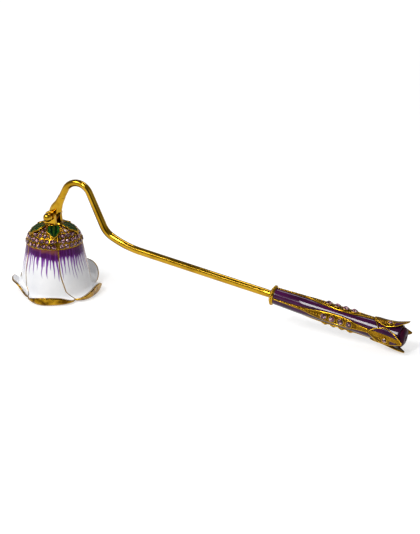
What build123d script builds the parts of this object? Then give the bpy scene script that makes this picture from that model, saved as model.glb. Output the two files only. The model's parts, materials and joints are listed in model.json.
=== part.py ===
from build123d import *
import os
from math import asin, atan, copysign, cos, degrees, floor, pi, radians, sin, sqrt, tan

# A candle snuffer of gold-plated metal, enamel and crystals. A bell-shaped flower hangs
# on a pin hinge at the end of a bent rod, and the rod's straight end holds the handle.
# The origin is the centre of the bell's mouth on the table, +Z is up, +X runs from the bell
# towards the handle's tail and the hinge pin lies along Y. Lengths are in millimetres.

# Fits shared by all pieces
BOND_GAP = 0.06          # soldered or cemented seam
RUNNING_GAP = 0.06       # hinge pin inside the knuckle's bore, on the radius
SIDE_PLAY = 0.12         # knuckle beside each lug
REST_FLAT_DEPTH = 0.15   # worn flat where the snuffer stands on the table
CUT_OVERRUN = 1.0        # how far a cutting shape passes what it cuts

# Bell: cup and jewelled dome
SHOULDER_HEIGHT = 31.0   # table to the lower edge of the dome
DOME_CENTRE = 4.0        # radius of the dome's flat top, where the round of its side is centred
DOME_DROP = 1.5          # centre of that round below the shoulder
CUP_WALL = 1.0

# Bell: petals
PETAL_COUNT = 5
PETAL_TURN = -87.0       # direction of the first petal, degrees from +X
PETAL_TOP_RADIUS = 16.2
PETAL_WALL = 0.9
PETAL_LEAN = 6.5         # slope of the petal's wall, degrees
PETAL_SEAM = 0.2         # gap between neighbouring petals
FLARE_ROUND = 5.2        # wall into lip
FLARE_END = -18.0        # direction of the petal where the flare ends, degrees
CURL_ROUND = 2.4         # lip curling up
CURL_END = 65.0          # direction of the petal where the curl ends, degrees
RIM_LENGTHS = (2.0, 2.4, 4.6, 3.0, 2.8)
LIP_TWIST = 15.0         # how far the lips lean round the bell, degrees
ENAMEL_WALL = 0.35
ENAMEL_BORDER = 0.55     # gold line left along a petal's edges

# Width, bow and twist of a petal from its waist to its rim, against the waist's own
FLARE_WIDTH_SHARES = (1.04, 1.12, 1.21, 1.28)
FLARE_BOW_SHARES = (0.72, 0.44, 0.18, -0.06)
FLARE_TWIST_SHARES = (0.12, 0.26, 0.42, 0.56)
CURL_WIDTH_SHARES = (1.31, 1.3, 1.24, 1.13)
CURL_BOW_SHARES = (-0.18, -0.27, -0.33, -0.36)
CURL_TWIST_SHARES = (0.7, 0.81, 0.89, 0.95)
RIM_WIDTH_SHARE = 0.80
RIM_BOW_SHARE = -0.3
WALL_STATION_SHARES = (0.0, 0.5, 1.0)

# Crystals: flat-backed stones in round seats
GEM_SIDES = 8
CROWN_GEM = 2.7          # diameter
CROWN_GEM_SPACE = 0.45
CROWN_GEM_ROWS = 3
CROWN_LAND = 0.3         # plain edge below the first row and beside the seams
GEM_SEAT_SHARE = 0.25    # depth below the girdle, of the diameter
GEM_CROWN_SHARE = 0.28   # height above the girdle, of the diameter
GEM_TABLE_SHARE = 0.56   # width of the top facet, of the diameter
GEM_BACK_SHARE = 0.9     # width of the flat back, of the diameter

# Calyx leaves on the dome
LEAF_TURN = -8.0         # leaves stand beside the petal seams, degrees
LEAF_BASE_GAP = 0.4      # leaf's base beside the hinge bracket
LEAF_TIP_SHARE = 0.843   # radius of the tips, of the dome's radius
LEAF_HALF_WIDTH = 3.1
LEAF_WALL = 0.8
LEAF_BORDER = 0.5
LEAF_ENAMEL = 0.3
LEAF_STATION_SHARES = (0.0, 0.25, 0.5, 0.75, 1.0)
LEAF_WIDTH_SHARES = (0.68, 0.98, 0.94, 0.6, 0.12)
LEAF_FILL_STATION_SHARES = (0.06, 0.25, 0.5, 0.72)

# Hinge
BRACKET_RADIUS = 5.8
BRACKET_BASE = 1.2       # thickness under the lugs
HINGE_RISE = 4.1         # pin centre above the bracket's base
LUG_RADIUS = 3.4
LUG_WALL = 2.2
KNUCKLE_WALL = 4.2
EYE_RADIUS = 3.2
PIN_RADIUS = 1.25
BALL_RADIUS = 2.15
BALL_STANDOFF = 1.6      # ball centre beyond the lug's face
CAP_ENGAGE = 1.9         # pin inside the ball cap

# Rod
ROD_RADIUS = 2.05
LEG_LENGTH = 18.9        # hinge to the start of the hook
LEG_ANGLE = 62.0         # degrees above +X
HOOK_ROUND = 9.0
DESCENT_ANGLE = -65.0
KINK_ROUND = 13.0
KINK_ANGLE = -28.0
SWEEP_ROUND = 60.0
HANDLE_ANGLE = -8.8      # slope of the rod's straight end and the handle
ROD_RUN = 83.0           # straight rod in front of the collar
NECK_LENGTH = 13.5       # hinge to the knuckle's end
NECK_WALL = 0.55         # knuckle wall round the rod
SOCKET_DEPTH = 5.0       # rod inside the knuckle
TANG_LENGTH = 32.0       # rod inside the handle core

# Handle, measured along its own axis from the collar's front
HANDLE_LENGTH = 80.0
COLLAR_LENGTH = 2.4
COLLAR_RADIUS = 5.8
FRONT_RADIUS = 4.75      # enamelled body at the collar
MIDDLE_RADIUS = 5.3
FRONT_RUN_SHARE = 0.25   # length over which the body swells, of the handle's
TAIL_FLARE_SHARE = 0.55  # start of the flare, of the handle's length
TAIL_RISE = 1.5          # growth of the body's radius to the tail
PANEL_WALL = 0.5         # enamel thickness
TAIL_STATION_SHARES = (0.25, 0.5, 0.75, 1.0)

# Straps and their stones
STRAP_COUNT = 4
STRAP_COLLAR_GAP = 0.4   # strap's point behind the collar
STRAP_SEPAL_GAP = 0.6    # strap's end in front of the sepal
STRAP_HALF_WIDTH = 2.5
STRAP_PROUD = 0.6
STRAP_GEM = 3.2
STRAP_GEM_PITCH = 4.95
STRAP_GEM_SHARE = 0.511  # middle of the stones, of the handle's length
STRAP_GEMS = 4
STRAP_STATION_SHARES = (0.0, 0.16, 0.36, 0.52, 0.67, 0.8, 0.89, 1.0)
STRAP_WIDTH_SHARES = (0.14, 0.22, 0.46, 0.84, 1.0, 0.84, 0.56, 0.4)

# Sepals round the tail
SEPAL_START_SHARE = 0.7525   # of the handle's length
SEPAL_HALF_WIDTH = 4.6
SEPAL_WALL = 0.9
SEPAL_GAP = 0.12         # solder between a sepal and the enamel
SEPAL_LIFT = 0.75        # tip curling away from the body
SEPAL_GEM = 2.7
SEPAL_GEM_SHARE = 0.475  # stone's place, of the sepal's length
SEPAL_RIB = 0.55         # half width of the bare midrib
SEPAL_BORDER = 0.55
SEPAL_ENAMEL = 0.25
SEPAL_STATION_SHARES = (0.0, 0.2, 0.42, 0.65, 0.85, 1.0)
SEPAL_WIDTH_SHARES = (0.24, 0.72, 1.0, 0.82, 0.42, 0.1)
FRONT_FIELD_SHARES = (0.14, 0.23, 0.32)
REAR_FIELD_SHARES = (0.63, 0.73, 0.82)

# Tail bud
BUD_LENGTH = 2.8
BUD_RECESS = 0.8         # bud's end inside the sepals' tips
BUD_INSET = 0.7          # bud's side inside the body's end
BUD_ROUND = 1.6
SPIGOT_RADIUS = 3.0
SPIGOT_LENGTH = 4.0

# Values worked out from the sizes above
HALF_SECTOR = pi / PETAL_COUNT
DOME_RADIUS = PETAL_TOP_RADIUS + BOND_GAP + ENAMEL_WALL
DOME_ROUND = sqrt((DOME_RADIUS - DOME_CENTRE) ** 2 + DOME_DROP**2)
DOME_LEVEL = SHOULDER_HEIGHT - DOME_DROP
BELL_TOP = DOME_LEVEL + DOME_ROUND
PETAL_TOP = SHOULDER_HEIGHT - BOND_GAP
LIP_LOW = PETAL_WALL - REST_FLAT_DEPTH
FLARE_DROP = FLARE_ROUND * (cos(radians(FLARE_END)) - sin(radians(PETAL_LEAN)))
CURL_DROP = CURL_ROUND * (1 - cos(radians(FLARE_END)))
WAIST_HEIGHT = LIP_LOW + FLARE_DROP + CURL_DROP
LEAN_RATIO = tan(radians(PETAL_LEAN))
WAIST_RADIUS = PETAL_TOP_RADIUS + LEAN_RATIO * (PETAL_TOP - WAIST_HEIGHT)
HINGE_HEIGHT = BELL_TOP + BOND_GAP + BRACKET_BASE + HINGE_RISE
LUG_FACE = KNUCKLE_WALL / 2 + SIDE_PLAY + LUG_WALL
LEAF_BASE_RADIUS = BRACKET_RADIUS + LEAF_BASE_GAP
LEAF_TIP_RADIUS = LEAF_TIP_SHARE * DOME_RADIUS
SLOPE = radians(-HANDLE_ANGLE)
FRONT_RUN = FRONT_RUN_SHARE * HANDLE_LENGTH
TAIL_FLARE_START = TAIL_FLARE_SHARE * HANDLE_LENGTH
BODY_END = HANDLE_LENGTH - BUD_RECESS - BUD_LENGTH
SEPAL_START = SEPAL_START_SHARE * HANDLE_LENGTH
SEPAL_LENGTH = HANDLE_LENGTH - SEPAL_START
STRAP_START = COLLAR_LENGTH + STRAP_COLLAR_GAP
STRAP_END = SEPAL_START - STRAP_SEPAL_GAP
STRAP_GEM_CENTRE = STRAP_GEM_SHARE * HANDLE_LENGTH


def point_at(radius, turn, height):
    """Point at a radius and direction round the bell's axis."""
    return Vector(radius * cos(turn), radius * sin(turn), height)


def circle_bow(radius, half_width):
    """Height of a circular arc above its chord."""
    return radius - sqrt(radius**2 - half_width**2)


def narrowed_bow(half_width, bow, narrow):
    """Bow of the narrower middle part of a circular arc."""
    radius = (half_width**2 + bow**2) / (2 * bow)
    return radius - copysign(sqrt(radius**2 - narrow**2), radius)


def band(centre, across, normal, half_width, bow, low, high):
    """Closed outline of a bowed strip between two levels, with its ends square to its arc."""
    half_turn = 2 * atan(bow / half_width)

    def level_points(level):
        side = across * (half_width + level * sin(half_turn))
        end = centre + normal * (level * cos(half_turn) - bow)
        return [end - side, centre + normal * level, end + side]

    lower = level_points(low)
    upper = level_points(high)
    return Wire([
        Edge.make_three_point_arc(*lower),
        Edge.make_line(lower[2], upper[2]),
        Edge.make_three_point_arc(*reversed(upper)),
        Edge.make_line(upper[0], lower[0]),
    ])


def revolved(edges):
    """Solid of revolution round Z of a closed outline drawn as radius and height."""
    return revolve(Plane.XZ * make_face(edges), Axis.Z)


def chain(points):
    """Straight edges joining points of an outline."""
    return [Edge.make_line(Vector(*a), Vector(*b)) for a, b in zip(points, points[1:])]


def above_table(shape):
    """Shape with what lies below the table's level cut away."""
    box = shape.bounding_box()
    centre = box.center()
    cut = Box(
        box.size.X + CUT_OVERRUN, box.size.Y + CUT_OVERRUN, CUT_OVERRUN,
        align=(Align.CENTER, Align.CENTER, Align.MAX),
    )
    return shape - Pos(centre.X, centre.Y, 0) * cut


def gem_and_seat(diameter, place):
    """One flat-backed stone and the round recess that holds it."""
    back = -GEM_SEAT_SHARE * diameter
    crown = GEM_CROWN_SHARE * diameter
    rings = (
        (GEM_BACK_SHARE * diameter / 2, back),
        (diameter / 2, 0),
        (GEM_TABLE_SHARE * diameter / 2, crown),
    )
    outlines = [(Pos(0, 0, level) * RegularPolygon(radius, GEM_SIDES)).wire() for radius, level in rings]
    stone = Solid.make_loft(outlines, ruled=True)
    depth = -back + BOND_GAP + CUT_OVERRUN
    seat = Pos(0, 0, back - BOND_GAP) * Cylinder(
        diameter / 2 + BOND_GAP, depth, align=(Align.CENTER, Align.CENTER, Align.MIN)
    )
    return place * stone, place * seat


def facing(origin, normal):
    """Location whose own Z points along a surface normal."""
    return Location(Plane(origin=origin, z_dir=normal))


# Bell

def dome_point(angle, turn, lift):
    """Point above the dome at an angle up its round, with the dome's normal there."""
    radius = DOME_CENTRE + (DOME_ROUND + lift) * cos(angle)
    height = DOME_LEVEL + (DOME_ROUND + lift) * sin(angle)
    normal = Vector(cos(angle) * cos(turn), cos(angle) * sin(turn), sin(angle))
    return point_at(radius, turn, height), normal


def dome_angle(radius):
    """Angle up the dome's round at which it has a given radius."""
    return radians(90) - asin((radius - DOME_CENTRE) / DOME_ROUND)


def leaf_half_width(angle):
    """Half width of a calyx leaf where it crosses an angle of the dome."""
    start = dome_angle(LEAF_BASE_RADIUS)
    share = (angle - start) / (dome_angle(LEAF_TIP_RADIUS) - start)
    return share_between(LEAF_STATION_SHARES, LEAF_WIDTH_SHARES, share) * LEAF_HALF_WIDTH


def share_between(station_shares, value_shares, share):
    """Value at a share, read between the entries of a table; zero past its end."""
    for near, far, low, high in zip(
        station_shares, station_shares[1:], value_shares, value_shares[1:]
    ):
        if near <= share <= far:
            return low + (high - low) * (share - near) / (far - near)
    return 0


def crown_gems(index):
    """Stones over one petal and their seats, in rows up the dome."""
    stones = []
    seats = []
    pitch = CROWN_GEM + CROWN_GEM_SPACE
    first = asin(DOME_DROP / DOME_ROUND) + (CROWN_LAND + CROWN_GEM / 2) / DOME_ROUND
    middle = radians(PETAL_TURN) + 2 * HALF_SECTOR * index
    leaf_shift = radians(LEAF_TURN)
    for row in range(CROWN_GEM_ROWS):
        angle = first + row * pitch / DOME_ROUND
        radius = DOME_CENTRE + DOME_ROUND * cos(angle)
        leaf = leaf_half_width(angle + CROWN_GEM / 2 / DOME_ROUND)
        room = 2 * HALF_SECTOR * radius - 2 * (leaf + CROWN_LAND)
        count = floor(room / pitch)
        shift = leaf_shift if leaf > 0 else 0
        for place in range(count):
            turn = middle + shift + (place - (count - 1) / 2) * pitch / radius
            origin, normal = dome_point(angle, turn, 0)
            stone, seat = gem_and_seat(CROWN_GEM, facing(origin, normal))
            stones.append(stone)
            seats.append(seat)
    return stones, seats


def bell_cup(seats):
    """Inner cup under a thick dome, with the seats of the crown's stones."""
    outer = PETAL_WALL + BOND_GAP
    inner = outer + CUP_WALL
    inner_top = PETAL_TOP_RADIUS - inner
    inner_round = sqrt((inner_top - DOME_CENTRE) ** 2 + DOME_DROP**2)
    rise = degrees(asin(DOME_DROP / DOME_ROUND))
    inner_rise = degrees(asin(DOME_DROP / inner_round))
    centre = (DOME_CENTRE, DOME_LEVEL)
    outline = [
        CenterArc(centre, DOME_ROUND, rise, 90 - rise),
        *chain([(DOME_CENTRE, BELL_TOP), (0, BELL_TOP), (0, DOME_LEVEL + inner_round)]),
        *chain([(0, DOME_LEVEL + inner_round), (DOME_CENTRE, DOME_LEVEL + inner_round)]),
        CenterArc(centre, inner_round, inner_rise, 90 - inner_rise),
        *chain([
            (inner_top, SHOULDER_HEIGHT),
            (WAIST_RADIUS - inner, WAIST_HEIGHT),
            (WAIST_RADIUS - outer, WAIST_HEIGHT),
            (PETAL_TOP_RADIUS - outer, SHOULDER_HEIGHT),
            (DOME_RADIUS, SHOULDER_HEIGHT),
        ]),
    ]
    return revolved(outline) - seats


def petal_stations(rim_length, top_inset, rim_inset):
    """Cross sections of a petal from its top to its rim: radius, height, direction,
    half width, bow and twist."""
    half_angle = HALF_SECTOR - PETAL_SEAM / 2 / PETAL_TOP_RADIUS
    waist_half = WAIST_RADIUS * sin(half_angle)
    waist_bow = WAIST_RADIUS * (1 - cos(half_angle))
    top = PETAL_TOP - top_inset
    stations = []
    for share in WALL_STATION_SHARES:
        height = top + (WAIST_HEIGHT - top) * share
        radius = PETAL_TOP_RADIUS + LEAN_RATIO * (PETAL_TOP - height)
        half_width = radius * sin(half_angle)
        stations.append((radius, height, radians(-90), half_width, radius * (1 - cos(half_angle)), 0))

    def follow(start, round_radius, first, last, widths, bows, twists):
        steps = len(widths)
        for step, (width, bow, twist) in enumerate(zip(widths, bows, twists), 1):
            way = first + (last - first) * step / steps
            radius = start[0] + round_radius * (sin(way) - sin(first))
            height = start[1] + round_radius * (cos(first) - cos(way))
            stations.append((radius, height, way, width * waist_half, bow * waist_bow, twist))
        return stations[-1]

    lean = radians(PETAL_LEAN - 90)
    flare_end = radians(FLARE_END)
    curl_end = radians(CURL_END)
    waist = (WAIST_RADIUS, WAIST_HEIGHT)
    flare = follow(waist, FLARE_ROUND, lean, flare_end,
                   FLARE_WIDTH_SHARES, FLARE_BOW_SHARES, FLARE_TWIST_SHARES)
    curl = follow(flare, CURL_ROUND, flare_end, curl_end,
                  CURL_WIDTH_SHARES, CURL_BOW_SHARES, CURL_TWIST_SHARES)
    reach = rim_length - rim_inset
    stations.append((
        curl[0] + reach * cos(curl_end), curl[1] + reach * sin(curl_end), curl_end,
        RIM_WIDTH_SHARE * waist_half, RIM_BOW_SHARE * waist_bow, 1,
    ))
    return stations


def petal_shape(index, top_inset, rim_inset, border, low, high):
    """Solid that follows a petal's cross sections between two levels of its surface."""
    outlines = []
    for radius, height, way, half_width, bow, twist in petal_stations(
        RIM_LENGTHS[index], top_inset, rim_inset
    ):
        turn = radians(PETAL_TURN + LIP_TWIST * twist) + 2 * HALF_SECTOR * index
        normal = Vector(-sin(way) * cos(turn), -sin(way) * sin(turn), cos(way))
        across = Vector(-sin(turn), cos(turn), 0)
        narrow = half_width - border
        narrow_bow = narrowed_bow(half_width, bow, narrow)
        outlines.append(band(point_at(radius, turn, height), across, normal, narrow, narrow_bow, low, high))
    return Solid.make_loft(outlines, ruled=True)


def petal(index):
    """Cast petal, worn flat where its lip stands on the table."""
    return above_table(petal_shape(index, 0, 0, 0, -PETAL_WALL, 0))


def petal_enamel(index):
    """Enamel fill of a petal inside its gold edge."""
    top_inset = BOND_GAP
    return petal_shape(index, top_inset, ENAMEL_BORDER, ENAMEL_BORDER, BOND_GAP, BOND_GAP + ENAMEL_WALL)


def leaf_shape(index, station_shares, border, low, high):
    """Solid along one leaf of the calyx, between two levels above the dome."""
    turn = radians(PETAL_TURN + LEAF_TURN) + HALF_SECTOR * (2 * index + 1)
    across = Vector(-sin(turn), cos(turn), 0)
    start = dome_angle(LEAF_BASE_RADIUS)
    end = dome_angle(LEAF_TIP_RADIUS)
    outlines = []
    for share in station_shares:
        angle = start + (end - start) * share
        width = share_between(LEAF_STATION_SHARES, LEAF_WIDTH_SHARES, share) * LEAF_HALF_WIDTH
        origin, normal = dome_point(angle, turn, 0)
        bend = (DOME_CENTRE + DOME_ROUND * cos(angle)) / cos(angle)
        half_width = width - border
        outlines.append(band(origin, across, normal, half_width, circle_bow(bend, half_width), low, high))
    return Solid.make_loft(outlines, ruled=True)


def leaf(index):
    """Gold leaf soldered on the dome."""
    return leaf_shape(index, LEAF_STATION_SHARES, 0, BOND_GAP, BOND_GAP + LEAF_WALL)


def leaf_enamel(index):
    """Green fill of a leaf inside its gold outline."""
    low = 2 * BOND_GAP + LEAF_WALL
    return leaf_shape(index, LEAF_FILL_STATION_SHARES, LEAF_BORDER, low, low + LEAF_ENAMEL)


# Hinge

def along_pin(radius, start, end):
    """Round bar along Y at the hinge, from one side to the other."""
    bar = Cylinder(radius, end - start, align=(Align.CENTER, Align.CENTER, Align.MIN))
    return Pos(0, start, HINGE_HEIGHT) * Rot(-90, 0, 0) * bar


def hinge_bracket():
    """Round base on the dome with two upright lugs, bored for the pin."""
    foot = Pos(0, 0, BELL_TOP + BOND_GAP)
    base = foot * Cylinder(BRACKET_RADIUS, BRACKET_BASE, align=(Align.CENTER, Align.CENTER, Align.MIN))
    body = base
    for side in (-1, 1):
        near = side * (LUG_FACE - LUG_WALL)
        far = side * LUG_FACE
        post = Pos(0, (near + far) / 2, BELL_TOP + BOND_GAP) * Box(
            2 * LUG_RADIUS, LUG_WALL, BRACKET_BASE + HINGE_RISE,
            align=(Align.CENTER, Align.CENTER, Align.MIN),
        )
        body = body + post + along_pin(LUG_RADIUS, min(near, far), max(near, far))
    bore = along_pin(PIN_RADIUS + BOND_GAP, -LUG_FACE - CUT_OVERRUN, LUG_FACE + CUT_OVERRUN)
    return body - bore


def ball(side):
    """Ball against the outer face of a lug."""
    centre = side * (LUG_FACE + BALL_STANDOFF)
    whole = Pos(0, centre, HINGE_HEIGHT) * Sphere(BALL_RADIUS)
    face = side * (LUG_FACE + BOND_GAP)
    trim = 2 * BALL_RADIUS
    block = Pos(0, face - side * trim / 2, HINGE_HEIGHT) * Box(2 * trim, trim, 2 * trim)
    return whole - block


def hinge_pin():
    """Pin with its ball head, pushed in from the front lug."""
    shaft = along_pin(PIN_RADIUS, -LUG_FACE - BALL_STANDOFF, LUG_FACE + CAP_ENGAGE)
    return shaft + ball(-1)


def pin_cap():
    """Ball cap over the pin's far end."""
    end = LUG_FACE + CAP_ENGAGE + BOND_GAP
    return ball(1) - along_pin(PIN_RADIUS + BOND_GAP, 0, end)


# Rod, drawn in the plane of X and Z

def heading(angle):
    """Unit direction at an angle above +X."""
    return Vector(cos(radians(angle)), 0, sin(radians(angle)))


def turn_to(start, radius, first, last):
    """Arc from one heading to another, and the point where it ends."""
    left = Vector(-sin(radians(first)), 0, cos(radians(first)))
    side = 1 if last > first else -1
    centre = start + left * (side * radius)

    def spot(angle):
        return centre - Vector(-sin(radians(angle)), 0, cos(radians(angle))) * (side * radius)

    end = spot(last)
    return Edge.make_three_point_arc(start, spot((first + last) / 2), end), end


def tail_radius():
    """Greatest radius of the tail, at the tips of the sepals."""
    return body_radius(HANDLE_LENGTH) + SEPAL_GAP + SEPAL_LIFT + SEPAL_WALL


def rod_path():
    """Edges of the rod's centre line, and the centre of the collar's front."""
    hinge = Vector(0, 0, HINGE_HEIGHT)
    leg_start = hinge + heading(LEG_ANGLE) * (NECK_LENGTH - SOCKET_DEPTH)
    leg_end = hinge + heading(LEG_ANGLE) * LEG_LENGTH
    hook, hook_end = turn_to(leg_end, HOOK_ROUND, LEG_ANGLE, DESCENT_ANGLE)
    kink_fall = turn_to(hook_end, KINK_ROUND, DESCENT_ANGLE, KINK_ANGLE)[1].Z - hook_end.Z
    sweep_fall = turn_to(hook_end, SWEEP_ROUND, KINK_ANGLE, HANDLE_ANGLE)[1].Z - hook_end.Z
    tail_height = tail_radius() * cos(SLOPE) - REST_FLAT_DEPTH
    run_top = tail_height + (ROD_RUN + HANDLE_LENGTH) * sin(SLOPE)
    descent = (hook_end.Z + kink_fall + sweep_fall - run_top) / -sin(radians(DESCENT_ANGLE))
    descent_end = hook_end + heading(DESCENT_ANGLE) * descent
    kink, kink_end = turn_to(descent_end, KINK_ROUND, DESCENT_ANGLE, KINK_ANGLE)
    sweep_arc, run_start = turn_to(kink_end, SWEEP_ROUND, KINK_ANGLE, HANDLE_ANGLE)
    collar = run_start + heading(HANDLE_ANGLE) * ROD_RUN
    tang_end = collar + heading(HANDLE_ANGLE) * (COLLAR_LENGTH + TANG_LENGTH)
    edges = [
        Edge.make_line(leg_start, leg_end), hook, Edge.make_line(hook_end, descent_end),
        kink, sweep_arc, Edge.make_line(run_start, tang_end),
    ]
    return Wire(edges), leg_start, collar


def rod():
    """Round rod bent along its path."""
    path, start, _ = rod_path()
    section = Plane(origin=start, z_dir=heading(LEG_ANGLE)) * Circle(ROD_RADIUS)
    return sweep(section, path)


def rod_knuckle():
    """Flattened eye on the pin, drawn out into a socket for the rod."""
    hinge = Vector(0, 0, HINGE_HEIGHT)
    leg = heading(LEG_ANGLE)

    def cross(distance, half_width, half_wall):
        plane = Plane(origin=hinge + leg * distance, x_dir=(0, 1, 0), z_dir=leg)
        return (plane * Ellipse(half_wall, half_width)).wire()

    half_wall = KNUCKLE_WALL / 2
    neck = ROD_RADIUS + NECK_WALL
    clear = LUG_RADIUS + CROWN_LAND
    outlines = [
        cross(0, EYE_RADIUS, half_wall),
        cross(clear, EYE_RADIUS, half_wall),
        cross(NECK_LENGTH, neck, neck),
    ]
    body = along_pin(EYE_RADIUS, -half_wall, half_wall) + Solid.make_loft(outlines, ruled=True)
    socket_floor = Plane(origin=hinge + leg * (NECK_LENGTH - SOCKET_DEPTH - BOND_GAP), z_dir=leg)
    socket = socket_floor.location * Cylinder(
        ROD_RADIUS + BOND_GAP, SOCKET_DEPTH + CUT_OVERRUN, align=(Align.CENTER, Align.CENTER, Align.MIN)
    )
    bore = along_pin(PIN_RADIUS + RUNNING_GAP, -half_wall - CUT_OVERRUN, half_wall + CUT_OVERRUN)
    return body - socket - bore


# Handle, built along Z with X up and Y towards the front, then set on the rod

def body_radius(along):
    """Outer radius of the enamelled body at a distance from the collar's front."""
    swell = min(along / FRONT_RUN, 1)
    flare = max(along - TAIL_FLARE_START, 0) / (HANDLE_LENGTH - TAIL_FLARE_START)
    front = FRONT_RADIUS + (MIDDLE_RADIUS - FRONT_RADIUS) * swell**2 * (3 - 2 * swell)
    return front + TAIL_RISE * flare**2


def handle_place():
    """Location of the collar's front, with Z along the handle and X up."""
    up = Vector(sin(SLOPE), 0, cos(SLOPE))
    return Location(Plane(origin=rod_path()[2], x_dir=up, z_dir=heading(HANDLE_ANGLE)))


def strip(centre_angle, radius, along, half_width, low, high):
    """Outline of a strip bent round the handle's axis at one station."""
    normal = Vector(cos(centre_angle), sin(centre_angle), 0)
    across = Vector(-sin(centre_angle), cos(centre_angle), 0)
    centre = normal * radius + Vector(0, 0, along)
    half_turn = half_width / radius
    bow = radius * (1 - cos(half_turn))
    return band(centre, across, normal, radius * sin(half_turn), bow, low, high)


def strap_half_width(along):
    """Half width of a strap at a distance from the collar's front."""
    share = (along - STRAP_START) / (STRAP_END - STRAP_START)
    if share <= 0:
        return STRAP_WIDTH_SHARES[0] * STRAP_HALF_WIDTH
    if share >= 1:
        return STRAP_WIDTH_SHARES[-1] * STRAP_HALF_WIDTH
    return share_between(STRAP_STATION_SHARES, STRAP_WIDTH_SHARES, share) * STRAP_HALF_WIDTH


def strap_angle(index):
    """Direction of a strap round the handle; the first is on top."""
    return 2 * pi * index / STRAP_COUNT


def body_stations():
    """Distances at which the core, the panels and the straps take their sections."""
    reach = STRAP_END - STRAP_START
    breaks = [STRAP_START + reach * share for share in STRAP_STATION_SHARES]
    tail = [STRAP_END + (BODY_END - STRAP_END) * share for share in TAIL_STATION_SHARES]
    return [COLLAR_LENGTH + BOND_GAP, *breaks, *tail]


def handle_collar():
    """Rounded ring in front of the body."""
    edge_round = COLLAR_LENGTH / 2
    middle = COLLAR_RADIUS - edge_round
    bore = ROD_RADIUS + BOND_GAP
    outline = [
        *chain([(middle, 0), (bore, 0), (bore, COLLAR_LENGTH), (middle, COLLAR_LENGTH)]),
        CenterArc((middle, edge_round), edge_round, -90, 180),
    ]
    return revolved(outline)


def handle_core():
    """Metal body under the enamel, bored for the tang and for the bud's spigot."""
    start = COLLAR_LENGTH + BOND_GAP
    side = [(body_radius(along) - PANEL_WALL - BOND_GAP, along) for along in body_stations()]
    bore = ROD_RADIUS + BOND_GAP
    floor_level = COLLAR_LENGTH + TANG_LENGTH + BOND_GAP
    spigot = SPIGOT_RADIUS + BOND_GAP
    spigot_floor = BODY_END - SPIGOT_LENGTH - BOND_GAP
    outline = [
        *chain(side),
        *chain([
            side[-1], (spigot, BODY_END), (spigot, spigot_floor), (0, spigot_floor),
            (0, floor_level), (bore, floor_level), (bore, start), side[0],
        ]),
    ]
    return revolved(outline)


def handle_panel(index):
    """Enamel between two straps."""
    half_gap = pi / STRAP_COUNT
    outlines = []
    for along in body_stations():
        radius = body_radius(along)
        half_width = half_gap * radius - strap_half_width(along) - BOND_GAP
        outlines.append(strip(strap_angle(index) + half_gap, radius, along, half_width, -PANEL_WALL, 0))
    return Solid.make_loft(outlines, ruled=True)


def strap_gems(index):
    """Stones along one strap and their seats."""
    turn = strap_angle(index)
    normal = Vector(cos(turn), sin(turn), 0)
    pairs = []
    for place in range(STRAP_GEMS):
        along = STRAP_GEM_CENTRE + (place - (STRAP_GEMS - 1) / 2) * STRAP_GEM_PITCH
        origin = normal * (body_radius(along) + STRAP_PROUD) + Vector(0, 0, along)
        pairs.append(gem_and_seat(STRAP_GEM, facing(origin, normal)))
    return [stone for stone, _ in pairs], [seat for _, seat in pairs]


def strap(index, seats):
    """Spindle-shaped strap standing proud of the enamel."""
    outlines = []
    for share in STRAP_STATION_SHARES:
        along = STRAP_START + (STRAP_END - STRAP_START) * share
        half_width = strap_half_width(along)
        radius = body_radius(along)
        outlines.append(strip(strap_angle(index), radius, along, half_width, -PANEL_WALL, STRAP_PROUD))
    return Solid.make_loft(outlines, ruled=True) - seats


def sepal_along(share):
    """Distance from the collar's front at a share of a sepal's length."""
    return SEPAL_START + SEPAL_LENGTH * share


def sepal_radius(share):
    """Inner radius of a sepal, which curls away from the body at its tip."""
    return body_radius(sepal_along(share)) + SEPAL_GAP + SEPAL_LIFT * share**3


def sepal_gem(index):
    """Stone on a sepal's midrib and its seat."""
    turn = strap_angle(index)
    normal = Vector(cos(turn), sin(turn), 0)
    surface = sepal_radius(SEPAL_GEM_SHARE) + SEPAL_WALL
    origin = normal * surface + Vector(0, 0, sepal_along(SEPAL_GEM_SHARE))
    return gem_and_seat(SEPAL_GEM, facing(origin, normal))


def sepal(index, seat):
    """Pointed leaf at the tail, over the strap's end."""
    outlines = []
    for share, width in zip(SEPAL_STATION_SHARES, SEPAL_WIDTH_SHARES):
        half_width = width * SEPAL_HALF_WIDTH
        radius = sepal_radius(share)
        outlines.append(strip(strap_angle(index), radius, sepal_along(share), half_width, 0, SEPAL_WALL))
    return Solid.make_loft(outlines, ruled=True) - seat


def sepal_fields(index):
    """Enamel fields beside a sepal's midrib, in front of and behind its stone."""
    fields = []
    low = SEPAL_WALL + BOND_GAP
    for side in (-1, 1):
        for shares in (FRONT_FIELD_SHARES, REAR_FIELD_SHARES):
            outlines = []
            for share in shares:
                width = share_between(SEPAL_STATION_SHARES, SEPAL_WIDTH_SHARES, share) * SEPAL_HALF_WIDTH
                radius = sepal_radius(share)
                half_width = (width - SEPAL_BORDER - SEPAL_RIB) / 2
                turn = strap_angle(index) + side * (SEPAL_RIB + half_width) / radius
                outlines.append(strip(turn, radius, sepal_along(share), half_width, low, low + SEPAL_ENAMEL))
            fields.append(Solid.make_loft(outlines, ruled=True))
    return fields


def tail_bud():
    """Plug with a rounded edge that closes the tail between the sepals."""
    start = BODY_END + BOND_GAP
    radius = body_radius(BODY_END) - BUD_INSET
    end = start + BUD_LENGTH
    outline = [
        *chain([
            (radius - BUD_ROUND, end), (0, end), (0, BODY_END - SPIGOT_LENGTH),
            (SPIGOT_RADIUS, BODY_END - SPIGOT_LENGTH), (SPIGOT_RADIUS, start),
            (radius, start), (radius, end - BUD_ROUND),
        ]),
        CenterArc((radius - BUD_ROUND, end - BUD_ROUND), BUD_ROUND, 0, 90),
    ]
    return revolved(outline)


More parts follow.
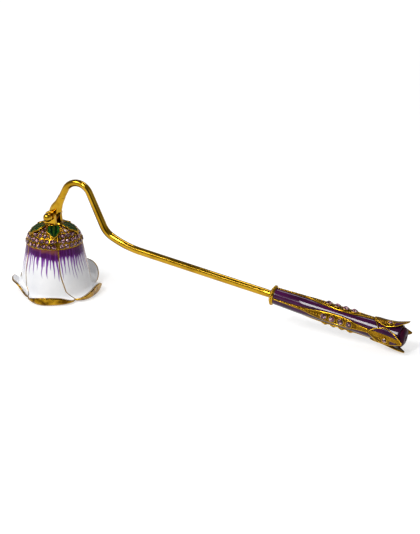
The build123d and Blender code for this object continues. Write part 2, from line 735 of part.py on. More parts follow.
def bell_nodes():
    """Every node of the bell by name."""
    nodes = {}
    all_seats = []
    for index in range(PETAL_COUNT):
        stones, seats = crown_gems(index)
        all_seats += seats
        nodes[f"crown_crystals_{index + 1}"] = Compound(children=stones)
        nodes[f"petal_{index + 1}"] = petal(index)
        nodes[f"petal_enamel_{index + 1}"] = petal_enamel(index)
        nodes[f"calyx_leaf_{index + 1}"] = leaf(index)
        nodes[f"leaf_enamel_{index + 1}"] = leaf_enamel(index)
    nodes["bell_cup"] = bell_cup(all_seats)
    nodes["hinge_bracket"] = hinge_bracket()
    nodes["hinge_pin"] = hinge_pin()
    nodes["pin_cap"] = pin_cap()
    return nodes


def wand_nodes():
    """Every node of the rod and handle by name."""
    nodes = {"rod": rod(), "rod_knuckle": rod_knuckle()}
    place = handle_place()
    handle = {
        "handle_collar": handle_collar(),
        "handle_core": handle_core(),
        "tail_bud": tail_bud(),
    }
    sepal_stones = []
    for index in range(STRAP_COUNT):
        stones, seats = strap_gems(index)
        stone, seat = sepal_gem(index)
        sepal_stones.append(stone)
        handle[f"handle_enamel_{index + 1}"] = handle_panel(index)
        handle[f"handle_strap_{index + 1}"] = strap(index, seats)
        handle[f"strap_crystals_{index + 1}"] = Compound(children=stones)
        handle[f"sepal_{index + 1}"] = sepal(index, seat)
        handle[f"sepal_enamel_{index + 1}"] = Compound(children=sepal_fields(index))
    handle["sepal_crystals"] = Compound(children=sepal_stones)
    for name, shape in handle.items():
        nodes[name] = place * shape
    resting = f"sepal_{STRAP_COUNT // 2 + 1}"
    nodes[resting] = above_table(nodes[resting])
    return nodes


os.makedirs("parts", exist_ok=True)
for name, shape in {**bell_nodes(), **wand_nodes()}.items():
    export_step(shape, f"parts/{name}.step")
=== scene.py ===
import json
import math

import bmesh
import bpy
import numpy as np
from bpy.props import FloatProperty, FloatVectorProperty, IntProperty, PointerProperty
from mathutils import Matrix, Vector

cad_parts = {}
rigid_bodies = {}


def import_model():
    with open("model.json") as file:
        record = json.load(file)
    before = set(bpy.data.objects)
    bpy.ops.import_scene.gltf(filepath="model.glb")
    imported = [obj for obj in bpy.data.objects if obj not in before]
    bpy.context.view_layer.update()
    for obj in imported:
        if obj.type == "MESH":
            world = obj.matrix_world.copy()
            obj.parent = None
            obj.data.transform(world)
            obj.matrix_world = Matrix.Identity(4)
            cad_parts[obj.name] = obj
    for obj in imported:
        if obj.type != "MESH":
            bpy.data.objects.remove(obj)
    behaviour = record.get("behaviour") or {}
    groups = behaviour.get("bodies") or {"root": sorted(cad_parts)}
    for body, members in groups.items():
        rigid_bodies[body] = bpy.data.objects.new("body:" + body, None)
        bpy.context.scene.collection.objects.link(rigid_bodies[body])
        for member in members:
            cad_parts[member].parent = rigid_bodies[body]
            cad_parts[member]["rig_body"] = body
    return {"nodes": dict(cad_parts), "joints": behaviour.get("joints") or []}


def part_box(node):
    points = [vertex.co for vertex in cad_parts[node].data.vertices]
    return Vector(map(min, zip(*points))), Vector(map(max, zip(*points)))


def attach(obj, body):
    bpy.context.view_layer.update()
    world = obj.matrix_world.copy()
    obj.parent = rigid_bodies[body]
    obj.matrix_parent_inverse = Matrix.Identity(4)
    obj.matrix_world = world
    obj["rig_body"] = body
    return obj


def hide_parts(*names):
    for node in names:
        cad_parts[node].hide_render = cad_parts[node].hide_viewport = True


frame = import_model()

for spare in [o for o in bpy.data.objects if "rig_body" not in o and o.type in {"MESH", "LIGHT", "CAMERA"}]:
    bpy.data.objects.remove(spare)
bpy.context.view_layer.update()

bl_info = {
    "name": "Flower Candle Snuffer",
    "version": (1, 0, 0),
    "blender": (4, 5, 0),
    "location": "View3D > Sidebar > Snuffer",
    "description": "Builds the gold, enamel and crystal surfaces of a hinged candle snuffer",
    "category": "Add Mesh",
}

MM = 0.001
BELL = "bell"
WAND = "wand"
NODES = frame["nodes"]
HINGE = np.array(frame["joints"][0]["pos_m"], float)

# Meshes
SHARP_EDGE = math.radians(50)
WELD = 1e-7
BORE_SIDES = 40

# Bell: the petals' middle line from the top of the wall to the rim
PETALS = 5
SECTOR = 2 * math.pi / PETALS
PETAL_TURN = math.radians(-87)
PETAL_TOP = 30.94 * MM
PETAL_TOP_RADIUS = 16.2 * MM
PETAL_LEAN = math.radians(6.5 - 90)
WAIST_HEIGHT = 5.224 * MM
WAIST_RADIUS = 19.13 * MM
WALL_LENGTH = math.hypot(PETAL_TOP - WAIST_HEIGHT, WAIST_RADIUS - PETAL_TOP_RADIUS)
FLARE_ROUND = 5.2 * MM
FLARE_END = math.radians(-18)
FLARE_LENGTH = FLARE_ROUND * (FLARE_END - PETAL_LEAN)
CURL_ROUND = 2.4 * MM
CURL_ENDS = tuple(math.radians(angle) for angle in (94, 80, 70, 66, 40))
RIM_LENGTHS = (1.9 * MM, 3.8 * MM, 5.6 * MM, 4.0 * MM, 4.0 * MM)
LIP_SCALES = (1.0, 1.0, 0.85, 0.8, 0.72)
LIP_RISES = (0.0 * MM, 0.0 * MM, 4.8 * MM, 4.0 * MM, 5.0 * MM)
LIP_PUSHES = (0.6 * MM, -0.5 * MM, 0.6 * MM, -0.2 * MM, -0.7 * MM)
LIP_POWERS = (2.4, 2.2, 2.8, 2.6, 3.4)
CORNER_RISES = (1.1 * MM, 1.7 * MM, 4.4 * MM, 3.8 * MM, 2.4 * MM)
CORNER_CURL = math.radians(25)
CORNER_LIP = 7.0 * MM
SWELL = 1.5 * MM
SWELL_STATIONS = (0, 0.35, 0.7, 1, 1.4, 2)
SWELL_SHARES = (0, 0.35, 0.85, 1.0, 0.75, 0.3)
LIP_TWIST = math.radians(20)
TWIST_STATIONS = (0, 0.5, 1, 1.25, 1.5, 1.75, 2)
TWIST_SHARES = (0, 0.04, 0.42, 0.6, 0.78, 0.92, 1)
SEAM_GAP = 0.1 * MM
PETAL_COLUMNS = 47
PETAL_CROWDING = 0.92 * math.pi / 2
PETAL_WALL_ROWS = 22
PETAL_LIP_ROWS = 37
MOUTH_RING = (0.3, 0.8)
THROAT_SHIFTS = (1.2, 0.2, 0.4, 0.8, 0.2)
THROAT_SCALES = (1.0, 0.78, 0.85, 0.9, 0.85)
THROAT_SLOPES = (1.3, 0.5, 0.6, -0.5, 0.8)
STROKE_SPREADS = (0.7, 1.0, 0.85, 0.75, 0.9)

# Bell: jewelled dome
SHOULDER = 31.0 * MM
DOME_CENTRE = 4.0 * MM
DOME_ROUND = 12.699 * MM
DOME_LEVEL = 29.5 * MM
BELL_TOP = DOME_LEVEL + DOME_ROUND
LEAF_TURN = math.radians(-8)
TABLE_HEIGHT = 0.28
BRILLIANT = (
    (8, 0.56, TABLE_HEIGHT, 0), (8, 0.8, 0.165, 0.5), (16, 0.99, 0.03, 0), (16, 0.99, -0.02, 0), (16, 0.9, -0.25, 0),
)
SMALL_STONES = (
    (28.4, 0, -8.45, 1.45), (28.4, 0, 8.45, 1.45), (42.7, 1, -5.2, 1.35), (42.7, 1, 5.2, 1.35),
    (56.9, 1, 0, 2.5), (55.5, 1, -2.25, 1.3), (55.5, 1, 2.25, 1.3), (68.5, 1, 0, 1.5),
)
# Share of stones whose table gets a painted glint; tone of the stones' sides.
PAINTED_GLINT_SHARE = 0.14
EDGE_TONE = 0.2
BEAD_REACH = 2.2 * MM
BEAD_SINK = 0.35
LEAF_BASE_RADIUS = 6.2 * MM
LEAF_TIP_RADIUS = 14.4 * MM
LEAF_HALF_WIDTH = 4.3 * MM
LEAF_BORDER = 0.22 * MM
LEAF_PLATE = (0.03 * MM, 0.5 * MM)
LEAF_ENAMEL = (0.4 * MM, 0.74 * MM)
LEAF_WIRE_LEVEL = 0.58 * MM
LEAF_RIB_LEVEL = 0.72 * MM
LEAF_TEETH = 3.6
LEAF_ROWS = 37
LEAF_COLUMNS = 15
LEAF_STATIONS = (0.0, 0.25, 0.5, 0.75, 1.0)
LEAF_WIDTHS = (0.78, 0.96, 0.98, 0.62, 0.05)

# Hinge and rod
LUG_RADIUS = 3.4 * MM
LUG_INNER = 2.22 * MM
LUG_OUTER = 4.42 * MM
LUG_BEVEL = 0.4 * MM
BRACKET_RADIUS = 5.8 * MM
BRACKET_BASE = 1.2 * MM
SOLDER = 0.06 * MM
PIN_RADIUS = 1.25 * MM
LEG_ANGLE = math.radians(62)
LEG = np.array([math.cos(LEG_ANGLE), 0, math.sin(LEG_ANGLE)])
EYE_RADIUS = 3.2 * MM
EYE_HALF_WALL = 2.1 * MM
NECK_START = 2.4 * MM
NECK_LENGTH = 13.5 * MM
NECK_STATIONS = (0, 2.4, 4.2, 6.0, 9.3, 13.5)
NECK_HALF_WIDTHS = (3.2, 3.75, 3.75, 3.4, 2.55, 2.19)
PIN_HEAD_RADIUS = 2.7 * MM
PIN_HEAD_SINK = 0.62 * PIN_HEAD_RADIUS
NECK_RADIUS = 2.19 * MM
ROD_SIDES = 40
ROD_RADIUS = 2.05 * MM
ROD_FULL_RADIUS = 2.2 * MM
SOCKET_START = 8.44 * MM
LEG_LENGTH = 18.9 * MM
HOOK_ROUND = 9.0 * MM
DESCENT_ANGLE = math.radians(-65)
KINK_ROUND = 13.0 * MM
KINK_ANGLE = math.radians(-28)
SWEEP_ROUND = 60.0 * MM
ROD_RUN = 83.0 * MM
ROD_TANG = 32.4 * MM

# Handle, measured along its own axis from the collar's front
HANDLE_SLOPE = math.radians(8.8)
HANDLE_AXIS = np.array([math.cos(HANDLE_SLOPE), 0, -math.sin(HANDLE_SLOPE)])
HANDLE_UP = np.array([math.sin(HANDLE_SLOPE), 0, math.cos(HANDLE_SLOPE)])
HANDLE_FRONT = np.array([0, -1.0, 0])
HANDLE_LENGTH = 80.0 * MM
COLLAR_LENGTH = 2.4 * MM
COLLAR_RADIUS = 5.8 * MM
COLLAR_BEAD = 0.62 * MM
COLLAR_MIDDLE = np.array((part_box("handle_collar")[0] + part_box("handle_collar")[1]) / 2)
HANDLE_START = COLLAR_MIDDLE - HANDLE_AXIS * COLLAR_LENGTH / 2
FRONT_RADIUS = 4.75 * MM
MIDDLE_RADIUS = 5.3 * MM
FRONT_RUN = 20.0 * MM
TAIL_FLARE = 44.0 * MM
TAIL_RISE = 1.5 * MM
BODY_END = 76.4 * MM
PANEL_WALL = 0.5 * MM
STRAPS = 4
STRAP_START = 2.8 * MM
STRAP_END = 59.6 * MM
STRAP_HALF_WIDTH = 2.85 * MM
STRAP_PROUD = 0.6 * MM
STRAP_FLOOR = 0.26 * MM
STRAP_SUNK = 0.4 * MM
STRAP_STATIONS = (0.0, 0.16, 0.36, 0.52, 0.67, 0.8, 0.89, 1.0)
STRAP_WIDTHS = (0.14, 0.22, 0.46, 0.84, 1.0, 0.84, 0.56, 0.4)
CHASED = ("polished_gold", "toned_gold")
ROPE_END = 23.0 * MM
ROPE_PITCH = 2.2 * MM
BORDER_START = 20.0 * MM
BORDER_OPENING = 5.0 * MM
BEAD_RUN = (24.4, 31.0)
BEAD_SIZES = (0.4, 0.74)
STONES_MIDDLE = 40.88 * MM
STONE_PITCH = 4.95 * MM
STONE_GROWTH = 1.15
CHEVRON_START = 52.3 * MM
SEPAL_START = 60.2 * MM
SEPAL_LENGTH = HANDLE_LENGTH - SEPAL_START
SEPAL_HALF_WIDTH = 4.6 * MM
SEPAL_WALL = 0.9 * MM
SEPAL_GAP = 0.12 * MM
SEPAL_LIFT = 0.75 * MM
SEPAL_FLARES = (2.0 * MM, 0.8 * MM, 0.0 * MM, 0.8 * MM)
SEPAL_STATIONS = (0.0, 0.2, 0.42, 0.65, 0.85, 1.0)
SEPAL_WIDTHS = (0.24, 0.72, 1.0, 0.82, 0.42, 0.1)
SEPAL_STONE = 0.475
SEPAL_ASIDE = 1.7 * MM
SEPAL_WIRE = 0.33 * MM
SEPAL_FLOOR = 0.55 * MM
SEPAL_ENAMEL = (0.45 * MM, 0.8 * MM)
RIB_ASIDE = 0.15 * MM
BAR_START = 60.0 * MM
BAR_LENGTH = 4.6 * MM
BAR_TURN = math.radians(-84)
BAR_SWEEP = math.radians(51)
GRANULE = 0.32 * MM
GRANULES = ((0.3, 1.7), (0.35, 2.6), (0.36, 1.75), (0.585, 1.8), (0.58, 2.9), (0.41, 3.5), (0.53, 3.6))
BUD_LENGTH = 2.8 * MM
BUD_INSET = 0.7 * MM

# Stage: open front of the light tent, towards the camera; lamps by place, aim and size
ROOM_FRONT = (0.53, -0.85)
WHITE = (1, 1, 1, 1)
SKY_LEVELS = ((0.04, 0.8), (0.3, 0.34), (0.65, 0.18))
FLOOR_REACH = 2.5
FLOOR_LEVEL = -0.02 * MM
LAMPS = {
    "key": ((0.035, -0.57, 0.59), (0.06, 0, 0.02), (0.09, 0.36)),
    "side": ((-0.34, -0.44, 0.6), (0.04, 0, 0.03), (0.34, 0.3)),
    "strip": ((-0.22, -0.55, 0.59), (0.06, 0, 0.03), (0.44, 0.05)),
    "fill": ((0.75, -0.35, 0.4), (0.12, 0, 0.02), (0.5, 0.5)),
    "back": ((0.08, 0.36, 0.7), (0.1, 0, 0.02), (0.3, 0.14)),
}
CAMERA_PLACE = (0.4282, -0.6774, 0.3044)
CAMERA_AIM = (0.10216, 0, 0.0308)
CAMERA_LENS = 95.795
CAMERA_SENSOR = 36.0


def length_setting(name, description, default):
    """Setting for a size."""
    return FloatProperty(name=name, description=description, default=default, unit="LENGTH", precision=5)


def power_setting(name, description, default):
    """Setting for a lamp."""
    return FloatProperty(name=name, description=description, default=default, unit="POWER")


def colour_setting(name, description, *shade):
    """Setting for a colour."""
    return FloatVectorProperty(name=name, description=description, subtype="COLOR", size=4, default=(*shade, 1))


class SnufferBell(bpy.types.PropertyGroup):
    """Sizes of the bell's surface work."""

    petal_wall: length_setting("Petal wall", "Thickness of a gold petal", 0.0009)
    enamel_wall: length_setting("Enamel", "Height of the enamel above the gold", 0.00041)
    edge_wire: length_setting("Edge wire", "Radius of the gold line along a petal's edge", 0.00015)
    lip_wave: length_setting("Lip wave", "How far the lips ripple", 0.00035)
    bead: length_setting("Setting bead", "Radius of the beads that hold the stones", 0.00042)
    leaf_wire: length_setting("Leaf wire", "Radius of the gold outline of a calyx leaf", 0.0003)


class SnufferHandle(bpy.types.PropertyGroup):
    """Sizes of the handle's surface work."""

    border_wire: length_setting("Strap border", "Radius of the lines along a strap", 0.00038)
    bezel_wire: length_setting("Bezel", "Radius of the ring round a stone", 0.0003)
    collar_beads: IntProperty(name="Collar beads", description="Beads round the collar", default=30, min=12, max=60)
    chevrons: IntProperty(name="Chevrons", description="Ridges across each strap's tail", default=13, min=4, max=24)


class SnufferFinishes(bpy.types.PropertyGroup):
    """Colours of the finishes."""

    gold: colour_setting("Gold", "Polished plate", 0.51, 0.29, 0.019)
    gold_deep: colour_setting("Deep gold", "Plate where it is thin or toned", 0.34, 0.18, 0.008)
    # Toned gold is also painted shade in the hollows of the petals' cast backs.
    gold_toned_and_shade: colour_setting("Toned gold", "Floor of the chased work", 0.085, 0.036, 0.002)
    white: colour_setting("White", "Petal enamel", 0.86, 0.86, 0.87)
    white_cool: colour_setting("Cool white", "Petal enamel where it is thicker", 0.76, 0.77, 0.8)
    streak: colour_setting("Streak", "Thin end of the petals' purple", 0.2, 0.05, 0.33)
    throat: colour_setting("Throat", "Purple at the top of the petals", 0.055, 0.003, 0.07)
    scorch: colour_setting("Scorch", "Brown where the petals' purple meets the gold", 0.2, 0.06, 0.03)
    # The leaf greens: the deep one is painted shade in the hollows between the ribs.
    green: colour_setting("Green", "Leaf enamel", 0.009, 0.07, 0.006)
    green_hollow_shade: colour_setting("Deep green", "Leaf enamel in its hollows", 0.0008, 0.008, 0.003)
    purple: colour_setting("Aubergine", "Handle enamel", 0.056, 0.0035, 0.048)
    purple_deep: colour_setting("Deep aubergine", "Handle enamel where it is thicker", 0.023, 0.0018, 0.021)
    plum: colour_setting("Plum", "Tail bud enamel", 0.06, 0.005, 0.012)
    # The lilacs are the facets' painted reflections: bright glints, middle and dark facets.
    crystal: colour_setting("Lilac", "Bright facets", 0.78, 0.47, 0.52)
    crystal_mid: colour_setting("Middle lilac", "Other facets", 0.2, 0.05, 0.08)
    crystal_deep: colour_setting("Deep lilac", "Dark facets", 0.03, 0.004, 0.012)


class SnufferStage(bpy.types.PropertyGroup):
    """Floor and light."""

    floor: colour_setting("Floor", "Floor and backdrop", 0.6, 0.6, 0.6)
    key_power: power_setting("Key", "Power of the main lamp", 2.5)
    side_power: power_setting("Side", "Power of the lamp at the left", 2.35)
    strip_power: power_setting("Strip", "Power of the long thin lamp that lines the rod", 0.7)
    fill_power: power_setting("Fill", "Power of the side lamp", 0.2)
    back_power: power_setting("Back", "Power of the lamp behind", 0.9)
    sky: FloatProperty(name="Sky", description="Strength of the even light", default=0.36, min=0)


# Shared shapes

def unit(vectors):
    """Vectors of length one."""
    return vectors / np.maximum(np.linalg.norm(vectors, axis=-1, keepdims=True), 1e-12)


def smooth_table(stations, values, at):
    """Values read smoothly between the entries of a table, without overshoot."""
    x = np.asarray(stations, float)
    y = np.asarray(values, float)
    step = np.diff(x)
    slope = np.diff(y) / step
    product = slope[:-1] * slope[1:]
    total = slope[:-1] + slope[1:]
    bend = np.concatenate([
        slope[:1], np.where(product > 0, 2 * product / np.where(total == 0, 1, total), 0), slope[-1:]
    ])
    at = np.clip(at, x[0], x[-1])
    k = np.clip(np.searchsorted(x, at, side="right") - 1, 0, len(step) - 1)
    t = (at - x[k]) / step[k]
    return (
        y[k] * (1 + 2 * t) * (1 - t) ** 2 + y[k + 1] * t**2 * (3 - 2 * t)
        + step[k] * t * (1 - t) * (bend[k] * (1 - t) - bend[k + 1] * t)
    )


class Stock:
    """Points and faces gathered for one mesh; layer is the finish of what is added next."""

    def __init__(self):
        self.points = []
        self.faces = []
        self.layers = []
        self.layer = 0
        self.count = 0

    def add(self, points, faces):
        points = np.asarray(points, float).reshape(-1, 3)
        self.points.append(points)
        self.faces += [tuple(int(i) + self.count for i in face) for face in faces]
        self.layers += [self.layer] * len(faces)
        self.count += len(points)


def quads(low, high, closed=True):
    """Faces between two loops of point numbers."""
    pairs = range(len(low) if closed else len(low) - 1)
    return [(low[i], low[(i + 1) % len(low)], high[(i + 1) % len(low)], high[i]) for i in pairs]


def strips(loops):
    """Faces between each loop and the next."""
    return [face for low, high in zip(loops, loops[1:]) for face in quads(low, high)]


def loft(stock, points, closed=False):
    """Skin over rings of points, joined round or with its ends closed."""
    count, sides = points.shape[:2]
    loops = np.arange(count * sides).reshape(count, sides)
    ends = quads(loops[-1], loops[0]) if closed else [tuple(loops[0][::-1]), tuple(loops[-1])]
    stock.add(points, [*strips(loops), *ends])


def perimeter(rows, columns):
    """Point numbers round the edge of a grid."""
    index = np.arange(rows * columns).reshape(rows, columns)
    return np.concatenate([index[0, :-1], index[:-1, -1], index[-1, :0:-1], index[:0:-1, 0]])


def shell(stock, grid, low, high, steps=4):
    """Closed plate between two levels of a surface, with its edge rounded outwards.
    Returns the grid point behind each of its points."""
    rows, columns = grid.shape[:2]
    normal = unit(np.cross(np.gradient(grid, axis=0), np.gradient(grid, axis=1))).reshape(-1, 3)
    flat = grid.reshape(-1, 3)
    rim = perimeter(rows, columns)
    edge = flat[rim]
    tangent = unit(np.roll(edge, -1, 0) - np.roll(edge, 1, 0))
    outward = unit(np.cross(normal[rim], tangent))
    middle = (low + high) / 2
    half = (high - low) / 2
    size = rows * columns
    points = [flat + normal * high, flat + normal * low]
    loops = [rim]
    for step in range(1, steps):
        angle = math.pi / 2 - math.pi * step / steps
        points.append(edge + normal[rim] * (middle + half * math.sin(angle)) + outward * half * math.cos(angle))
        loops.append(2 * size + (step - 1) * len(rim) + np.arange(len(rim)))
    loops.append(rim + size)
    index = np.arange(size).reshape(rows, columns)
    cells = np.stack([index[:-1, :-1], index[1:, :-1], index[1:, 1:], index[:-1, 1:]], -1).reshape(-1, 4)
    stock.add(np.concatenate(points), [*cells, *(cells[:, ::-1] + size), *strips(loops)])
    return np.concatenate([np.arange(size), np.arange(size), *[rim] * (steps - 1)])


def tube(stock, path, radius, sides=8, closed=False):
    """Round wire along a path, with rounded ends."""
    path = np.asarray(path, float)
    radius = np.broadcast_to(np.asarray(radius, float), len(path)).copy()
    if not closed:
        first = unit(path[0] - path[1])
        last = unit(path[-1] - path[-2])
        caps = np.array([0.97, 0.7])
        narrow = np.sqrt(1 - caps**2)
        path = np.concatenate([
            path[0] + first * (caps * radius[0])[:, None], path,
            path[-1] + last * (caps[::-1] * radius[-1])[:, None],
        ])
        radius = np.concatenate([narrow * radius[0], radius, narrow[::-1] * radius[-1]])
        tangent = unit(np.gradient(path, axis=0))
    else:
        tangent = unit(np.roll(path, -1, 0) - np.roll(path, 1, 0))
    helper = np.eye(3)[np.argmin(np.abs(tangent[0]))]
    side = unit(np.cross(tangent[0], helper))
    across = []
    for direction in tangent:
        side = unit(side - direction * np.dot(side, direction))
        across.append(side)
    across = np.array(across)
    up = np.cross(tangent, across)
    turns = np.arange(sides) * 2 * math.pi / sides
    ring = across[:, None] * np.cos(turns)[None, :, None] + up[:, None] * np.sin(turns)[None, :, None]
    loft(stock, path[:, None] + ring * radius[:, None, None], closed)


def ball(stock, centre, radius, segments=12, rings=8):
    """Small round bead."""
    tilt = np.linspace(0, math.pi, rings + 1)[1:-1]
    turn = np.arange(segments) * 2 * math.pi / segments
    body = np.stack([
        np.outer(np.sin(tilt), np.cos(turn)), np.outer(np.sin(tilt), np.sin(turn)),
        np.repeat(np.cos(tilt)[:, None], segments, 1),
    ], -1).reshape(-1, 3)
    points = np.concatenate([[[0, 0, 1]], body, [[0, 0, -1]]]) * radius + np.asarray(centre)
    loops = 1 + np.arange(len(body)).reshape(rings - 1, segments)
    faces = strips(loops[::-1])
    last = len(points) - 1
    for i in range(segments):
        following = (i + 1) % segments
        faces += [(0, loops[0][i], loops[0][following]), (last, loops[-1][following], loops[-1][i])]
    stock.add(points, faces)


def turned(stock, profile, place, segments=72):
    """Ring or disc turned round an axis from a closed outline of radius and distance."""
    profile = np.asarray(profile, float)
    turns = np.arange(segments) * 2 * math.pi / segments
    points = place(
        np.repeat(profile[:, 1][:, None], segments, 1), np.repeat(turns[None], len(profile), 0),
        np.repeat(profile[:, 0][:, None], segments, 1),
    )
    loft(stock, points, True)


def rounded(profile, radius, steps=5):
    """Closed outline with its corners rounded."""
    outline = []
    for before, corner, after in zip(np.roll(profile, 1, 0), profile, np.roll(profile, -1, 0)):
        back = unit(before - corner)
        ahead = unit(after - corner)
        start = corner + back * radius
        end = corner + ahead * radius
        for t in np.linspace(0, 1, steps + 1):
            outline.append((1 - t) ** 2 * start + 2 * t * (1 - t) * corner + t**2 * end)
    return np.array(outline)


def circle(centre, normal, radius, count=28):
    """Points round a circle."""
    normal = unit(np.asarray(normal, float))
    side = unit(np.cross(normal, np.eye(3)[np.argmin(np.abs(normal))]))
    up = np.cross(normal, side)
    turns = np.arange(count) * 2 * math.pi / count
    return np.asarray(centre) + radius * (np.cos(turns)[:, None] * side + np.sin(turns)[:, None] * up)


def piece(name, stock, body, nodes=(), finishes=("polished_gold",), flat=False, marks=None):
    """Object made from a stock, riding on a body and standing for its nodes."""
    points = np.concatenate(stock.points)
    points[:, 2] = np.maximum(points[:, 2], 0)
    mesh = bpy.data.meshes.new(name)
    mesh.from_pydata(points.tolist(), [], stock.faces)
    mesh.polygons.foreach_set("material_index", stock.layers)
    for mark_name, (domain, values) in (marks or {}).items():
        mesh.attributes.new(mark_name, "FLOAT", domain).data.foreach_set("value", np.asarray(values, float))
    work = bmesh.new()
    work.from_mesh(mesh)
    bmesh.ops.remove_doubles(work, verts=work.verts, dist=WELD)
    bmesh.ops.dissolve_degenerate(work, edges=work.edges, dist=WELD)
    bmesh.ops.recalc_face_normals(work, faces=work.faces)
    work.to_mesh(mesh)
    work.free()
    mesh.polygons.foreach_set("use_smooth", [not flat] * len(mesh.polygons))
    if not flat:
        mesh.set_sharp_from_angle(angle=SHARP_EDGE)
    for each in finishes:
        mesh.materials.append(finish(each))
    made = bpy.data.objects.new(name, mesh)
    bpy.context.scene.collection.objects.link(made)
    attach(made, body)
    if nodes:
        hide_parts(*nodes)
    return made


def finish_node(name, finish_name):
    """Gives a CAD node that stays in view its finish."""
    mesh = NODES[name].data
    mesh.materials.clear()
    mesh.materials.append(finish(finish_name))


def bored(made, centre, direction, radius, length):
    """Cuts a round bore through a piece."""
    stock = Stock()
    along = unit(np.asarray(direction, float))
    half = along * length / 2
    loft(stock, np.stack([circle(np.asarray(centre) + side * half, along, radius, BORE_SIDES) for side in (-1, 1)]))
    mesh = bpy.data.meshes.new("bore")
    mesh.from_pydata(np.concatenate(stock.points).tolist(), [], stock.faces)
    cutter = bpy.data.objects.new("bore", mesh)
    bpy.context.scene.collection.objects.link(cutter)
    cut = made.modifiers.new("bore", "BOOLEAN")
    cut.operation = "DIFFERENCE"
    cut.solver = "EXACT"
    cut.object = cutter
    bpy.context.view_layer.update()
    graph = bpy.context.evaluated_depsgraph_get()
    result = bpy.data.meshes.new_from_object(made.evaluated_get(graph))
    made.modifiers.remove(cut)
    made.data = result
    bpy.data.objects.remove(cutter)
    result.set_sharp_from_angle(angle=SHARP_EDGE)


# Finishes

FINISHED = {}


def fed(tree, kind, values, **settings):
    """Node of a kind, set up and with its sockets linked or given plain values."""
    node = tree.nodes.new(kind)
    for setting, value in settings.items():
        setattr(node, setting, value)
    for socket, value in values.items():
        if isinstance(value, bpy.types.NodeSocket):
            tree.links.new(value, node.inputs[socket])
        else:
            node.inputs[socket].default_value = value
    return node


def calc(tree, operation, *values, clamp=False):
    """Output of one step of arithmetic."""
    return fed(tree, "ShaderNodeMath", dict(enumerate(values)), operation=operation, use_clamp=clamp).outputs[0]


def grain(tree, scale, detail=3.0):
    """Noise fixed to the object."""
    where = tree.nodes.new("ShaderNodeTexCoord").outputs["Object"]
    return fed(tree, "ShaderNodeTexNoise", {"Scale": scale, "Detail": detail, "Vector": where}).outputs["Fac"]


def bristles(tree, across, count):
    """Uneven lines left by a brush, fixed to the place across a petal."""
    lines = {"Scale": count, "Detail": 2.0, "W": across}
    return fed(tree, "ShaderNodeTexNoise", lines, noise_dimensions="1D").outputs["Fac"]


def ramp(tree, factor, *stops):
    """Colour read along stops of place and colour."""
    node = fed(tree, "ShaderNodeValToRGB", {"Fac": factor})
    elements = node.color_ramp.elements
    while len(elements) < len(stops):
        elements.new(0.5)
    for element, (place, colour) in zip(elements, stops):
        element.position = place
        element.color = colour
    return node.outputs["Color"]


def spread(tree, factor, low, high, near=0.3, far=0.7):
    """A noise's middle range stretched between two values."""
    ends = {"Value": factor, "From Min": near, "From Max": far, "To Min": low, "To Max": high}
    return fed(tree, "ShaderNodeMapRange", ends).outputs["Result"]


def blended(tree, factor, first, second):
    """Colour between two colours."""
    return fed(tree, "ShaderNodeMix", {"Factor": factor, 6: first, 7: second}, data_type="RGBA").outputs[2]


def mark(tree, name):
    """Value kept on a mesh."""
    return fed(tree, "ShaderNodeAttribute", {}, attribute_name=name).outputs["Fac"]


def new_material(name, constants):
    """Material with plain values on its shader's sockets, its tree and its shader."""
    material = bpy.data.materials.new(name)
    material.use_nodes = True
    tree = material.node_tree
    shader = tree.nodes["Principled BSDF"]
    for socket, value in constants.items():
        shader.inputs[socket].default_value = value
    return material, tree, shader


def surface(tree, shader, colour, roughness, height=None, strength=0.0, distance=0.0):
    """Colour, roughness and relief of a finish."""
    tree.links.new(colour, shader.inputs["Base Color"])
    tree.links.new(roughness, shader.inputs["Roughness"])
    if height:
        bump = fed(tree, "ShaderNodeBump", {"Strength": strength, "Distance": distance, "Height": height})
        tree.links.new(bump.outputs["Normal"], shader.inputs["Normal"])


def polished_gold(finishes):
    """Polished plate with soft cloudy toning and fine polishing marks."""
    material, tree, shader = new_material("polished_gold", {"Metallic": 1.0})
    tone = ramp(tree, grain(tree, 110.0), (0.36, finishes.gold_deep), (0.58, finishes.gold))
    gloss = spread(tree, grain(tree, 300.0), 0.05, 0.12)
    surface(tree, shader, tone, gloss, grain(tree, 500.0, 1.0), 0.03, 0.00003)
    return material


def toned_gold(finishes):
    """Darker matt plate in the floor of chased work."""
    material, tree, shader = new_material("toned_gold", {"Metallic": 1.0})
    cloud = grain(tree, 900.0)
    tone = ramp(tree, cloud, (0.4, finishes.gold_toned_and_shade), (0.85, finishes.gold_deep))
    surface(tree, shader, tone, spread(tree, cloud, 0.26, 0.42), grain(tree, 2600.0, 2.0), 0.5, 0.0001)
    return material


def cast_gold(finishes):
    """Softly uneven plate on the backs of the petals, with painted shade: browner and darker in the hollows of its
    bump.
    """
    material, tree, shader = new_material("cast_gold", {"Metallic": 1.0})
    cloud = grain(tree, 260.0)
    # The colour follows the bump's noise, so its low places carry painted shade.
    tone = ramp(tree, cloud, (0.36, finishes.gold_toned_and_shade), (0.54, finishes.gold_deep), (0.76, finishes.gold))
    surface(tree, shader, tone, spread(tree, grain(tree, 500.0), 0.16, 0.3), cloud, 0.7, 0.0012)
    return material


